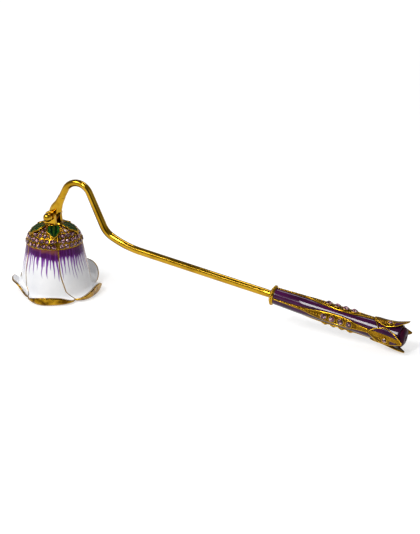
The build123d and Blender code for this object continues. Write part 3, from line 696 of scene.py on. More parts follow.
def strokes(tree, across, depth, count, reach, spare, width):
    """Brush strokes that run down from the throat, each of its own length and place."""
    place = calc(tree, "ADD", calc(tree, "MULTIPLY", across, count), 100.0)
    chance = fed(tree, "ShaderNodeTexWhiteNoise", {"W": calc(tree, "FLOOR", place)}, noise_dimensions="1D")
    ways = fed(tree, "ShaderNodeSeparateColor", {"Color": chance.outputs["Color"]}).outputs
    middle = calc(tree, "MULTIPLY_ADD", ways["Red"], 0.3, 0.35)
    aside = calc(tree, "ABSOLUTE", calc(tree, "SUBTRACT", calc(tree, "FRACT", place), middle))
    length = calc(tree, "MULTIPLY_ADD", ways["Green"], spare, reach)
    left = calc(tree, "SUBTRACT", 1.0, calc(tree, "DIVIDE", depth, length), clamp=True)
    root = calc(tree, "MULTIPLY", calc(tree, "POWER", left, 9.0), 0.3)
    fine = calc(tree, "MULTIPLY", calc(tree, "POWER", left, 0.35), width)
    inside = calc(tree, "DIVIDE", calc(tree, "SUBTRACT", calc(tree, "ADD", root, fine), aside), 0.12)
    paint = calc(tree, "ADD", inside, 0.2, clamp=True)
    return calc(tree, "MULTIPLY", paint, calc(tree, "MULTIPLY_ADD", calc(tree, "POWER", left, 0.5), 0.9, 0.1))


def streaked_enamel(finishes):
    """White enamel with a purple throat that runs down in fine tapering strokes."""
    material, tree, shader = new_material("streaked_enamel", {
        "IOR": 1.5, "Specular IOR Level": 0.08, "Coat Weight": 0.06, "Coat Roughness": 0.05})
    sway = calc(tree, "SUBTRACT", grain(tree, 90.0, 1.0), 0.5)
    across = calc(tree, "MULTIPLY_ADD", sway, 0.16, mark(tree, "petal_across"))
    uneven = calc(tree, "SUBTRACT", grain(tree, 300.0, 2.0), 0.5)
    depth = calc(tree, "SUBTRACT", mark(tree, "petal_depth"), calc(tree, "MULTIPLY_ADD", uneven, 2.4, 3.0))
    long_strokes = strokes(tree, across, depth, 5.2, 9.0, 5.0, 0.2)
    short_strokes = strokes(tree, across, depth, 8.9, 2.0, 6.0, 0.24)
    throat = spread(tree, depth, 1.0, 0.0, -0.7, 1.1)
    tint = calc(tree, "MAXIMUM", calc(tree, "MAXIMUM", long_strokes, short_strokes), throat)
    clear = ramp(tree, grain(tree, 70.0), (0.35, finishes.white_cool), (0.6, finishes.white))
    deep = spread(tree, depth, 1.0, 0.0, -0.5, 3.5)
    deep = calc(tree, "MULTIPLY", deep, spread(tree, bristles(tree, across, 9.0), 0.62, 1.0, 0.36, 0.54))
    painted = ramp(tree, calc(tree, "MULTIPLY", tint, deep), (0.1, finishes.streak), (0.9, finishes.throat))
    scorch = calc(tree, "MULTIPLY", spread(tree, depth, 1.0, 0.0, -3.7, -2.0), bristles(tree, across, 3.0))
    painted = blended(tree, calc(tree, "MULTIPLY", scorch, 1.3, clamp=True), painted, finishes.scorch)
    cover = spread(tree, tint, 0.0, 1.0, 0.02, 0.55)
    gloss = spread(tree, grain(tree, 240.0), 0.2, 0.34)
    surface(tree, shader, blended(tree, cover, clear, painted), gloss, grain(tree, 220.0, 1.0), 0.1, 0.0002)
    return material


def aubergine_enamel(finishes):
    """Dark glassy enamel, a little lighter where it is thin."""
    material, tree, shader = new_material("aubergine_enamel", {
        "Coat Weight": 0.45, "Coat Roughness": 0.04, "IOR": 1.52, "Specular IOR Level": 0.06})
    tone = ramp(tree, grain(tree, 150.0), (0.35, finishes.purple_deep), (0.66, finishes.purple))
    gloss = spread(tree, grain(tree, 300.0), 0.1, 0.18)
    surface(tree, shader, tone, gloss, grain(tree, 160.0, 1.0), 0.1, 0.0003)
    return material


def plum_enamel(finishes):
    """Redder, duller enamel on the tail bud."""
    material, tree, shader = new_material("plum_enamel", {
        "Specular IOR Level": 0.03, "Coat Weight": 0.05, "Coat Roughness": 0.1})
    tone = ramp(tree, grain(tree, 260.0), (0.35, finishes.purple_deep), (0.66, finishes.plum))
    gloss = spread(tree, grain(tree, 300.0), 0.3, 0.42)
    surface(tree, shader, tone, gloss, grain(tree, 160.0, 1.0), 0.1, 0.0003)
    return material


def leaf_green_enamel(finishes):
    """Deep green enamel with ribs along the leaf: a painted sheen lightens their crests and painted shade darkens the
    hollows between.
    """
    material, tree, shader = new_material("leaf_green_enamel", {"Specular IOR Level": 0.04})
    uneven = calc(tree, "MULTIPLY", calc(tree, "SUBTRACT", grain(tree, 500.0), 0.5), 1.2)
    ribs = calc(tree, "ADD", calc(tree, "MULTIPLY", mark(tree, "leaf_across"), 8.5), uneven)
    ribs = calc(tree, "MULTIPLY_ADD", calc(tree, "COSINE", ribs), 0.5, 0.5)
    # The colour follows the ribs' relief: painted sheen on the crests, painted shade in the hollows.
    tone = ramp(tree, ribs, (0.25, finishes.green_hollow_shade), (0.95, finishes.green))
    surface(tree, shader, tone, spread(tree, grain(tree, 300.0), 0.16, 0.28), ribs, 0.5, 0.0003)
    return material


def cut_crystal(finishes):
    """Foil-backed cut stone whose facets are darker and lighter as painted reflections and glints."""
    material, tree, shader = new_material("cut_crystal", {
        "IOR": 1.6, "Specular IOR Level": 0.3, "Coat Weight": 0.3, "Coat Roughness": 0.02})
    facet = mark(tree, "facet")
    # Each facet's tone picks a painted reflection: dark, middle lilac or a bright painted glint.
    tone = ramp(
        tree, facet, (0.15, finishes.crystal_deep), (0.6, finishes.crystal_mid), (0.92, finishes.crystal))
    surface(tree, shader, tone, spread(tree, grain(tree, 500.0), 0.03, 0.09))
    return material


MAKERS = {maker.__name__: maker for maker in (
    polished_gold, toned_gold, cast_gold, streaked_enamel, leaf_green_enamel, aubergine_enamel, plum_enamel,
    cut_crystal,
)}


def finish(name):
    """Material of that name, made on first use."""
    if name not in FINISHED:
        FINISHED[name] = MAKERS[name](bpy.context.scene.snuffer_finishes)
    return FINISHED[name]


# Bell

def lip_shape(index, across):
    """Rise, scale, curl, length and push of a petal's lip at shares of its width."""
    side = np.abs(across) ** LIP_POWERS[index]
    corner = np.where(across > 0, CORNER_RISES[index], CORNER_RISES[index - 1])
    rise = LIP_RISES[index] * (1 - side) + corner * side
    scale = LIP_SCALES[index] * (1 - side) + side
    curl = CURL_ENDS[index] * (1 - side) + CORNER_CURL * side
    full = LIP_SCALES[index] * (FLARE_LENGTH + CURL_ROUND * (CURL_ENDS[index] - FLARE_END)) + RIM_LENGTHS[index]
    length = full * (1 - side) + CORNER_LIP * side
    return rise, scale, curl, length, LIP_PUSHES[index] * (1 - side)


def petal_grid(index, border, wave):
    """Surface of a petal inside a border, with its distances along and shares across."""
    across = np.sin(np.linspace(-PETAL_CROWDING, PETAL_CROWDING, PETAL_COLUMNS)) / math.sin(PETAL_CROWDING)
    rise, scale, curl, length, push = (part[None] for part in lip_shape(index, across))
    wall_rows = np.linspace(border / WALL_LENGTH, 1, PETAL_WALL_ROWS)
    station = np.concatenate([wall_rows, np.linspace(1, 2, PETAL_LIP_ROWS)[1:]])[:, None]
    wall = np.minimum(station, 1) * (WALL_LENGTH - rise)
    lip = np.maximum(station - 1, 0) * (length - border)
    flare_length = FLARE_LENGTH * scale
    curl_length = CURL_ROUND * scale * (curl - FLARE_END)
    flare = PETAL_LEAN + np.clip(lip, 0, flare_length) / (FLARE_ROUND * scale)
    bend = FLARE_END + np.clip(lip - flare_length, 0, curl_length) / (CURL_ROUND * scale)
    rim = np.maximum(lip - flare_length - curl_length, 0)
    radius = (
        PETAL_TOP_RADIUS + wall * math.cos(PETAL_LEAN) + SWELL * smooth_table(SWELL_STATIONS, SWELL_SHARES, station)
        + FLARE_ROUND * scale * (np.sin(flare) - math.sin(PETAL_LEAN))
        + CURL_ROUND * scale * (np.sin(bend) - math.sin(FLARE_END)) + rim * np.cos(curl)
        + push * np.clip(station - 0.6, 0, 1) ** 2
    )
    height = (
        PETAL_TOP + wall * math.sin(PETAL_LEAN) + FLARE_ROUND * scale * (math.cos(PETAL_LEAN) - np.cos(flare))
        + CURL_ROUND * scale * (math.cos(FLARE_END) - np.cos(bend)) + rim * np.sin(curl)
    )
    half = SECTOR / 2 - (SEAM_GAP + border) / radius
    twist = LIP_TWIST * smooth_table(TWIST_STATIONS, TWIST_SHARES, station)
    turn = PETAL_TURN + SECTOR * index + twist + across[None] * half
    grid = np.stack([radius * np.cos(turn), radius * np.sin(turn), height], -1)
    swing = np.sin(math.pi * (1.7 * across + 0.37 * index))
    ripple = wave * np.clip(station - 1, 0, 1) ** 2 * (1 - across**2) * swing
    return lifted(grid, ripple[..., None]), wall + lip, np.broadcast_to(across, wall.shape)


def lifted(grid, level):
    """Surface moved along its normals."""
    normal = unit(np.cross(np.gradient(grid, axis=0), np.gradient(grid, axis=1)))
    return grid + normal * level


def hem(grid):
    """Path down one side of a grid, along its last row and up the other side."""
    return np.concatenate([grid[:, 0], grid[-1, 1:-1], grid[::-1, -1]])


class SNUFFER_OT_petals(bpy.types.Operator):
    """Gold petals with a fine line along their edges"""

    bl_idname = "snuffer.petals"
    bl_label = "Gold petals"

    def execute(self, context):
        sizes = context.scene.snuffer_bell
        for index in range(PETALS):
            stock = Stock()
            grid = petal_grid(index, sizes.petal_wall / 2, sizes.lip_wave)[0]
            shell(stock, grid, -sizes.petal_wall, 0, 6)
            edge = petal_grid(index, sizes.edge_wire, sizes.lip_wave)[0]
            stock.layer = 1
            tube(stock, hem(lifted(edge, sizes.enamel_wall - sizes.edge_wire)), sizes.edge_wire)
            number = index + 1
            piece(f"gold_petal_{number}", stock, BELL, [f"petal_{number}"], ["cast_gold", "polished_gold"])
        self.liner(sizes.petal_wall)
        return {"FINISHED"}

    def liner(self, wall):
        """Ring that fills the mouth between the cup and the swelling petals."""
        along = np.linspace(*MOUTH_RING, 20) * WALL_LENGTH
        radius = PETAL_TOP_RADIUS + along * math.cos(PETAL_LEAN) - wall
        height = PETAL_TOP + along * math.sin(PETAL_LEAN)
        outer = radius + SWELL * smooth_table(SWELL_STATIONS, SWELL_SHARES, along / WALL_LENGTH) + 0.1 * MM
        outline = np.concatenate([
            np.stack([outer, height], -1), np.stack([radius - 0.15 * MM, height], -1)[::-1]])
        stock = Stock()
        turned(stock, outline, bell_point, 120)
        piece("mouth_ring", stock, BELL)


class SNUFFER_OT_petal_enamel(bpy.types.Operator):
    """White enamel on the petals, streaked with purple"""

    bl_idname = "snuffer.petal_enamel"
    bl_label = "Petal enamel"

    def execute(self, context):
        sizes = context.scene.snuffer_bell
        border = 2 * sizes.edge_wire
        for index in range(PETALS):
            stock = Stock()
            grid, along, share = petal_grid(index, border, sizes.lip_wave)
            source = shell(stock, grid, 0, sizes.enamel_wall)
            aside = share.reshape(-1)[source]
            throat = THROAT_SHIFTS[index] + THROAT_SLOPES[index] * aside
            marks = {
                "petal_depth": ("POINT", THROAT_SCALES[index] * along.reshape(-1)[source] / MM - throat),
                "petal_across": ("POINT", STROKE_SPREADS[index] * aside + 2.0 * index),
            }
            number = index + 1
            piece(f"white_petal_{number}", stock, BELL, [f"petal_enamel_{number}"], ["streaked_enamel"],
                  marks=marks)
        return {"FINISHED"}


def stones(node):
    """Girdle centre, outward direction and diameter of each stone of a node."""
    work = bmesh.new()
    work.from_mesh(NODES[node].data)
    bmesh.ops.remove_doubles(work, verts=work.verts, dist=1e-6)
    left = set(work.verts)
    found = []
    while left:
        todo = [left.pop()]
        group = []
        while todo:
            corner = todo.pop()
            group.append(corner.co[:])
            near = [e.other_vert(corner) for e in corner.link_edges]
            todo += [v for v in near if v in left]
            left.difference_update(near)
        points = np.array(sorted(group))
        middle = points.mean(0)
        normal = np.linalg.eigh(np.cov((points - middle).T))[1][:, 0]
        height = (points - middle) @ normal
        radial = np.linalg.norm(points - middle - height[:, None] * normal, axis=1)
        if radial[height > 0].mean() > radial[height < 0].mean():
            normal = -normal
        girdle = points[radial > 0.97 * radial.max()]
        found.append((girdle.mean(0), normal, 2 * radial.max()))
    work.free()
    return sorted(found, key=lambda stone: tuple(np.round(stone[0], 6)))


def cut_stone(stock, tones, centre, normal, diameter, chance):
    """Round brilliant with a flat back, and the tone of each facet, which paints its reflection: a painted glint on
    some tables and a painted highlight on one side of each stone.
    """
    side = unit(np.cross(normal, np.eye(3)[np.argmin(np.abs(normal))]))
    up = np.cross(normal, side)

    def ring(count, radius, height, shift):
        turns = (np.arange(count) + shift) * 2 * math.pi / count
        flat = np.cos(turns)[:, None] * side + np.sin(turns)[:, None] * up
        return centre + flat * radius * diameter / 2 + normal * height * diameter

    points = np.concatenate([[centre + normal * TABLE_HEIGHT * diameter], *[ring(*row) for row in BRILLIANT]])
    table, middle, upper, lower, back = 1, 9, 17, 33, 49
    # Painted glint: a few stones get a bright table.
    painted_glint = 1.0 if chance.random() < PAINTED_GLINT_SHARE else 0.1 + 0.4 * chance.random() ** 1.5
    painted_lit_side = 8 * chance.random()
    faces = []
    shades = []
    for i in range(8):
        after = (i + 1) % 8
        before = (i - 1) % 8
        # Painted highlight: the facets on a random side of each stone are lightened.
        painted_highlight = max(0.0, math.cos((i - painted_lit_side) * math.pi / 4)) ** 3
        faces += [
            (0, table + i, table + after),
            (table + i, middle + i, table + after),
            (table + i, middle + before, upper + 2 * i, middle + i),
            (middle + i, upper + 2 * i, upper + 2 * i + 1),
            (middle + i, upper + 2 * i + 1, upper + 2 * after),
        ]
        shades += [
            min(painted_glint * (0.35 + 0.65 * chance.random()) + 0.8 * painted_highlight, 1.0),
            min(chance.random() ** 2.2 + 0.4 * painted_highlight, 1.0), chance.random() ** 2.6,
            0.35 * chance.random(), 0.35 * chance.random(),
        ]
    loop = np.arange(16)
    edges = [*quads(upper + loop, lower + loop), *quads(lower + loop, back + loop), tuple(back + loop)]
    stock.add(points, [*faces, *edges])
    tones += [*shades, *[EDGE_TONE] * len(edges)]


def set_stones(name, node, body, seed, more=(), place=None):
    """Cut stones in place of a node's plain ones, and more beside them."""
    chance = np.random.default_rng(seed)
    stock = Stock()
    tones = []
    for stone in [*stones(node), *more]:
        cut_stone(stock, tones, *(place(stone) if place else stone), chance)
    marks = {"facet": ("FACE", tones)}
    piece(name, stock, body, [node], ["cut_crystal"], flat=True, marks=marks)


def dome_point(angle, turn, lift):
    """Point above the dome at an angle up its round."""
    radius = DOME_CENTRE + (DOME_ROUND + lift) * np.cos(angle)
    height = DOME_LEVEL + (DOME_ROUND + lift) * np.sin(angle)
    return np.stack(np.broadcast_arrays(radius * np.cos(turn), radius * np.sin(turn), height), -1)


def dome_angle(radius):
    """Angle up the dome's round at which it has a given radius."""
    return math.acos((radius - DOME_CENTRE) / DOME_ROUND)


class SNUFFER_OT_crown(bpy.types.Operator):
    """Pave of cut stones over the bell's shoulder, with its beads and gold lines"""

    bl_idname = "snuffer.crown"
    bl_label = "Jewelled crown"

    def execute(self, context):
        sizes = context.scene.snuffer_bell
        finish_node("bell_cup", "cast_gold")
        every = []
        for index in range(PETALS):
            node = f"crown_crystals_{index + 1}"
            small = self.small_stones(index)
            set_stones(f"crown_stones_{index + 1}", node, BELL, 11 + index, small)
            every += stones(node) + small
        stock = Stock()
        self.beads(stock, every, sizes.bead)
        self.lines(stock, every, sizes.edge_wire)
        piece("crown_settings", stock, BELL)
        return {"FINISHED"}

    def small_stones(self, index):
        """Stones that fill the dome between the rows and the leaves."""
        found = []
        for row, shift, aside, diameter in SMALL_STONES:
            angle = math.radians(row)
            radius = DOME_CENTRE + DOME_ROUND * math.cos(angle)
            turn = PETAL_TURN + SECTOR * index + shift * LEAF_TURN + aside * MM / radius
            normal = np.array([math.cos(angle) * math.cos(turn), math.cos(angle) * math.sin(turn), math.sin(angle)])
            found.append((dome_point(angle, turn, 0), normal, diameter * MM))
        return found

    def beads(self, stock, every, bead):
        """Beads in the gaps between three stones."""
        centres = np.array([stone[0] for stone in every])
        radii = np.array([stone[2] / 2 for stone in every])
        gaps = np.linalg.norm(centres[:, None] - centres[None], axis=-1) - radii[:, None] - radii[None]
        placed = []
        for a in range(len(centres)):
            for b in range(a + 1, len(centres)):
                if gaps[a, b] > BEAD_REACH:
                    continue
                for c in range(b + 1, len(centres)):
                    if max(gaps[b, c], gaps[a, c]) > BEAD_REACH:
                        continue
                    weights = 1 / radii[[a, b, c]]
                    spot = (centres[[a, b, c]] * weights[:, None]).sum(0) / weights.sum()
                    clear = (np.linalg.norm(centres - spot, axis=1) - radii).min()
                    if clear < 0.2 * bead:
                        continue
                    if all(np.linalg.norm(spot - other) > 1.7 * bead for other in placed):
                        placed.append(spot)
        for spot in placed:
            angle = math.atan2(spot[2] - DOME_LEVEL, math.hypot(spot[0], spot[1]) - DOME_CENTRE)
            turn = math.atan2(spot[1], spot[0])
            ball(stock, dome_point(angle, turn, BEAD_SINK * bead), bead)

    def lines(self, stock, every, wire):
        """Scalloped line below the first row and a line up each seam of the petals."""
        centres = np.array([stone[0] for stone in every])
        stone_radius = every[0][2] / 2
        lowest = centres[centres[:, 2] < centres[:, 2].min() + 0.3 * MM]
        turns = np.arctan2(lowest[:, 1], lowest[:, 0])
        around = np.linspace(0, 2 * math.pi, 481)[:-1]
        apart = np.abs((around[:, None] - turns[None] + math.pi) % (2 * math.pi) - math.pi)
        aside = apart.min(1) * (DOME_CENTRE + DOME_ROUND) / (1.25 * stone_radius)
        dip = np.sqrt(np.clip(1 - aside**2, 0.12, 1)) * (stone_radius + 1.2 * wire)
        level = math.asin((lowest[0, 2] - DOME_LEVEL) / DOME_ROUND) - dip / DOME_ROUND
        tube(stock, dome_point(level, around, 0.1 * wire), 1.7 * wire, 7, True)
        shoulder = math.asin((SHOULDER - DOME_LEVEL) / DOME_ROUND)
        climb = np.linspace(shoulder, dome_angle(LEAF_TIP_RADIUS - 1.5 * MM), 14)
        for index in range(PETALS):
            seam = PETAL_TURN + SECTOR * (index + 0.5)
            tube(stock, dome_point(climb, np.full_like(climb, seam), 0.5 * wire), 1.3 * wire)


class SNUFFER_OT_calyx(bpy.types.Operator):
    """Green enamelled leaves with gold outlines"""

    bl_idname = "snuffer.calyx"
    bl_label = "Calyx leaves"

    def execute(self, context):
        wire = context.scene.snuffer_bell.leaf_wire
        for index in range(PETALS):
            number = index + 1
            gold = Stock()
            shell(gold, self.grid(index, LEAF_BORDER, 1.0), *LEAF_PLATE)
            edge = lifted(self.grid(index, wire, 1.0), LEAF_WIRE_LEVEL)
            tube(gold, hem(edge), wire)
            rib = lifted(self.grid(index, wire, 0.86), LEAF_RIB_LEVEL)[2:, LEAF_COLUMNS // 2]
            tube(gold, rib, np.linspace(0.75 * wire, 0.4 * wire, len(rib)), 6)
            piece(f"gold_leaf_{number}", gold, BELL, [f"calyx_leaf_{number}"])
            green = Stock()
            source = shell(green, self.grid(index, 2 * wire, 0.93), *LEAF_ENAMEL)
            across = np.tile(np.linspace(-1, 1, LEAF_COLUMNS), LEAF_ROWS)
            piece(f"green_leaf_{number}", green, BELL, [f"leaf_enamel_{number}"], ["leaf_green_enamel"],
                  marks={"leaf_across": ("POINT", across[source])})
        return {"FINISHED"}

    def grid(self, index, border, reach):
        """Surface of one toothed leaf on the dome inside a border."""
        turn = PETAL_TURN + LEAF_TURN + SECTOR * (index + 0.5)
        start = dome_angle(LEAF_BASE_RADIUS)
        end = dome_angle(LEAF_TIP_RADIUS)
        share = np.linspace(0.03, reach, LEAF_ROWS)[:, None]
        across = np.linspace(-1, 1, LEAF_COLUMNS)[None]
        teeth = 1 + 0.3 * (0.5 - (share * LEAF_TEETH + 0.25) % 1.0) * np.clip((share - 0.15) / 0.2, 0, 1)
        half = smooth_table(LEAF_STATIONS, LEAF_WIDTHS, share) * LEAF_HALF_WIDTH * teeth
        half = np.maximum(half - border, 0.05 * MM)
        angle = start + (end - start) * share
        lift = 0.3 * MM * share**2 + 0.15 * MM * across**2
        radius = DOME_CENTRE + DOME_ROUND * np.cos(angle)
        return dome_point(angle + 0 * across, turn + across * half / radius, lift)


# Hinge

def bell_point(height, turn, radius):
    """Point round the bell's axis."""
    return np.stack([radius * np.cos(turn), radius * np.sin(turn), height], -1)


def slab(stock, outline, low, high, bevel, steps=4):
    """Plate across the hinge from an outline in X and Z, with rounded edges."""
    ahead = unit(np.roll(outline, -1, 0) - np.roll(outline, 1, 0))
    outward = np.stack([ahead[:, 1], -ahead[:, 0]], -1)
    angles = np.linspace(0, math.pi / 2, steps + 1)
    levels = [(low + bevel * (1 - math.sin(a)), bevel * (1 - math.cos(a))) for a in angles[::-1]]
    levels += [(high - bevel * (1 - math.sin(a)), bevel * (1 - math.cos(a))) for a in angles]
    points = []
    for level, inset in levels:
        flat = outline - outward * inset
        points.append(np.stack([flat[:, 0], np.full(len(flat), level), flat[:, 1]], -1))
    loft(stock, np.stack(points))


class SNUFFER_OT_hinge(bpy.types.Operator):
    """Bracket with its two lugs, the pin's balls and the rod's knuckle"""

    bl_idname = "snuffer.hinge"
    bl_label = "Hinge"

    def execute(self, context):
        self.bracket()
        self.knuckle()
        self.pin_head()
        finish_node("hinge_pin", "polished_gold")
        finish_node("pin_cap", "polished_gold")
        return {"FINISHED"}

    def bracket(self):
        """Round foot and two lugs, bored for the pin."""
        foot = BELL_TOP + SOLDER
        disc = np.array([
            (0, foot), (BRACKET_RADIUS, foot), (BRACKET_RADIUS, foot + 0.45 * MM),
            (0.8 * BRACKET_RADIUS, foot + BRACKET_BASE), (0, foot + BRACKET_BASE),
        ])
        outline = np.concatenate([disc[:1], rounded(disc, 0.2 * MM)[6:24], disc[-1:]])
        plate = Stock()
        turned(plate, outline, bell_point)
        piece("hinge_foot", plate, BELL, ["hinge_bracket"])
        base = foot + 0.3 * BRACKET_BASE
        turns = np.linspace(0, math.pi, 29)
        top = np.stack([LUG_RADIUS * np.cos(turns), HINGE[2] + LUG_RADIUS * np.sin(turns)], -1)
        rise = np.linspace(0, 1, 9)[:-1]
        waist = LUG_RADIUS * (1 + 0.22 * (1 - rise) ** 3)
        height = base + (HINGE[2] - base) * rise
        right = np.stack([waist, height], -1)
        left = np.stack([-waist, height], -1)[::-1]
        side = np.concatenate([right, top, left])
        for number, (low, high) in enumerate(((-LUG_OUTER, -LUG_INNER), (LUG_INNER, LUG_OUTER)), 1):
            stock = Stock()
            slab(stock, side, low, high, LUG_BEVEL)
            lug = piece(f"hinge_lug_{number}", stock, BELL, ["hinge_bracket"])
            bored(lug, (0, (low + high) / 2, HINGE[2]), (0, 1, 0), PIN_RADIUS + SOLDER, 4 * LUG_RADIUS)

    def pin_head(self):
        """Full round head over the pin's front end."""
        front = float(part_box("hinge_pin")[0][1])
        stock = Stock()
        ball(stock, np.array([0, front + PIN_HEAD_SINK, HINGE[2]]), PIN_HEAD_RADIUS, 32, 20)
        piece("pin_head", stock, BELL)

    def knuckle(self):
        """Eye drawn out into the socket that holds the rod."""
        wide = np.array([-math.sin(LEG_ANGLE), 0, math.cos(LEG_ANGLE)])
        thick = np.array([0, 1.0, 0])
        end = EYE_RADIUS * np.sin(np.linspace(-math.pi / 2, 0, 12))[1:]
        reach = np.concatenate([end, np.linspace(0, NECK_LENGTH, 34)[1:]])
        taper = np.clip((reach - NECK_START) / (NECK_LENGTH - NECK_START), 0, 1)
        ease = taper**2 * (3 - 2 * taper)
        eye = np.sqrt(np.maximum(EYE_RADIUS**2 - reach**2, 0))
        neck = smooth_table(NECK_STATIONS, NECK_HALF_WIDTHS, reach / MM) * MM
        half_width = np.where(reach < 0, eye, neck)
        half_wall = EYE_HALF_WALL + (NECK_RADIUS - EYE_HALF_WALL) * ease
        turns = np.arange(ROD_SIDES) * 2 * math.pi / ROD_SIDES
        x = np.cos(turns) * half_width[:, None]
        y = np.sin(turns) * half_wall[:, None]
        stock = Stock()
        loft(stock, HINGE + reach[:, None, None] * LEG + x[..., None] * wide + y[..., None] * thick)
        made = piece("rod_eye", stock, WAND, ["rod_knuckle"])
        bored(made, HINGE, thick, PIN_RADIUS + SOLDER, 4 * EYE_RADIUS)
        socket_end = NECK_LENGTH + 2 * MM
        middle = HINGE + LEG * (SOCKET_START + socket_end) / 2
        bored(made, middle, LEG, ROD_RADIUS + SOLDER, socket_end - SOCKET_START)


def bend(radius, first, last):
    """Arc from the origin, turning from one angle above +X to another."""
    side = math.copysign(1, last - first)
    turns = np.append(first, np.linspace(first, last, 41))
    left = np.stack([-np.sin(turns), 0 * turns, np.cos(turns)], 1) * side * radius
    return left[0] - left[1:]


class SNUFFER_OT_rod(bpy.types.Operator):
    """Polished rod, hooked over the bell and swept down to the handle"""

    bl_idname = "snuffer.rod"
    bl_label = "Rod"

    def execute(self, context):
        line = self.centre_line()
        along = np.concatenate([[0], np.cumsum(np.linalg.norm(np.diff(line, axis=0), axis=1))])
        collar = along[-1] - ROD_TANG
        stations = (0, 0.15 * collar, 0.3 * collar, collar - 4 * MM, collar - 0.5 * MM, along[-1])
        radii = (ROD_RADIUS, ROD_RADIUS, ROD_FULL_RADIUS, ROD_FULL_RADIUS, ROD_RADIUS, ROD_RADIUS)
        stock = Stock()
        tube(stock, line, smooth_table(stations, radii, along), ROD_SIDES)
        piece("bent_rod", stock, WAND, ["rod"])
        return {"FINISHED"}

    def centre_line(self):
        """Points from the rod's end in the knuckle to its end in the handle."""
        reach = np.linspace(SOCKET_START + ROD_RADIUS, LEG_LENGTH, 12)[:, None]
        rise = HINGE + reach * LEG
        hook = rise[-1] + bend(HOOK_ROUND, LEG_ANGLE, DESCENT_ANGLE)
        run_start = HANDLE_START - HANDLE_AXIS * ROD_RUN
        sweep = bend(SWEEP_ROUND, KINK_ANGLE, -HANDLE_SLOPE)
        sweep += run_start - sweep[-1]
        kink = bend(KINK_ROUND, DESCENT_ANGLE, KINK_ANGLE)
        kink += sweep[0] - kink[-1]
        descent = np.linspace(hook[-1], kink[0], 12)
        run = run_start + np.linspace(0, ROD_RUN + ROD_TANG, 120)[:, None] * HANDLE_AXIS
        return np.concatenate([rise, hook[1:], descent[1:], kink[1:], sweep[1:], run[1:]])


# Handle

def handle_point(along, turn, radius):
    """Point round the handle's axis; turn 0 is its top."""
    along, turn, radius = np.broadcast_arrays(along, turn, radius)
    spoke = np.cos(turn)[..., None] * HANDLE_UP + np.sin(turn)[..., None] * HANDLE_FRONT
    return HANDLE_START + along[..., None] * HANDLE_AXIS + radius[..., None] * spoke


def body_radius(along):
    """Outer radius of the enamelled body."""
    swell = np.minimum(along / FRONT_RUN, 1)
    flare = np.maximum(along - TAIL_FLARE, 0) / (HANDLE_LENGTH - TAIL_FLARE)
    return FRONT_RADIUS + (MIDDLE_RADIUS - FRONT_RADIUS) * swell**2 * (3 - 2 * swell) + TAIL_RISE * flare**2


def strap_turn(index):
    """Direction of a strap round the handle."""
    return 2 * math.pi * index / STRAPS


def strap_half(along):
    """Half width of a strap."""
    share = (along - STRAP_START) / (STRAP_END - STRAP_START)
    return smooth_table(STRAP_STATIONS, STRAP_WIDTHS, share) * STRAP_HALF_WIDTH


def strap_point(index, along, across, level):
    """Point on a strap at a distance aside from its middle."""
    radius = body_radius(along)
    return handle_point(along, strap_turn(index) + across / radius, radius + level)


class SNUFFER_OT_collar(bpy.types.Operator):
    """Ring of beads in front of the handle"""

    bl_idname = "snuffer.collar"
    bl_label = "Collar"

    def execute(self, context):
        count = context.scene.snuffer_handle.collar_beads
        core = COLLAR_RADIUS - COLLAR_BEAD
        bore = ROD_RADIUS + SOLDER
        outline = rounded(np.array([
            (bore, 0), (core - 0.7 * MM, 0), (core, 0.65 * MM), (core, COLLAR_LENGTH - 0.65 * MM),
            (core - 0.3 * MM, COLLAR_LENGTH), (bore, COLLAR_LENGTH),
        ]), 0.15 * MM)
        stock = Stock()
        turned(stock, outline, handle_point)
        for number in range(count):
            turn = 2 * math.pi * number / count
            ball(stock, handle_point(COLLAR_LENGTH / 2, turn, core), COLLAR_BEAD)
        piece("collar", stock, WAND, ["handle_collar"])
        return {"FINISHED"}


class SNUFFER_OT_body(bpy.types.Operator):
    """Aubergine enamel between the straps"""

    bl_idname = "snuffer.body"
    bl_label = "Handle enamel"

    def execute(self, context):
        finish_node("handle_core", "toned_gold")
        half_gap = math.pi / STRAPS
        edge = PANEL_WALL / 2
        along = np.linspace(COLLAR_LENGTH + SOLDER + edge, BODY_END - edge, 90)[:, None]
        for index in range(STRAPS):
            radius = body_radius(along)
            half = half_gap * radius - strap_half(along) - edge + 0.1 * MM
            share = np.linspace(1, -1, 21)[None]
            swell = 0.12 * MM * np.abs(share) ** 4
            grid = handle_point(along, strap_turn(index) + half_gap + share * half / radius, radius - swell)
            stock = Stock()
            shell(stock, grid, -PANEL_WALL, 0)
            piece(f"aubergine_panel_{index + 1}", stock, WAND, [f"handle_enamel_{index + 1}"],
                  ["aubergine_enamel"])
        return {"FINISHED"}


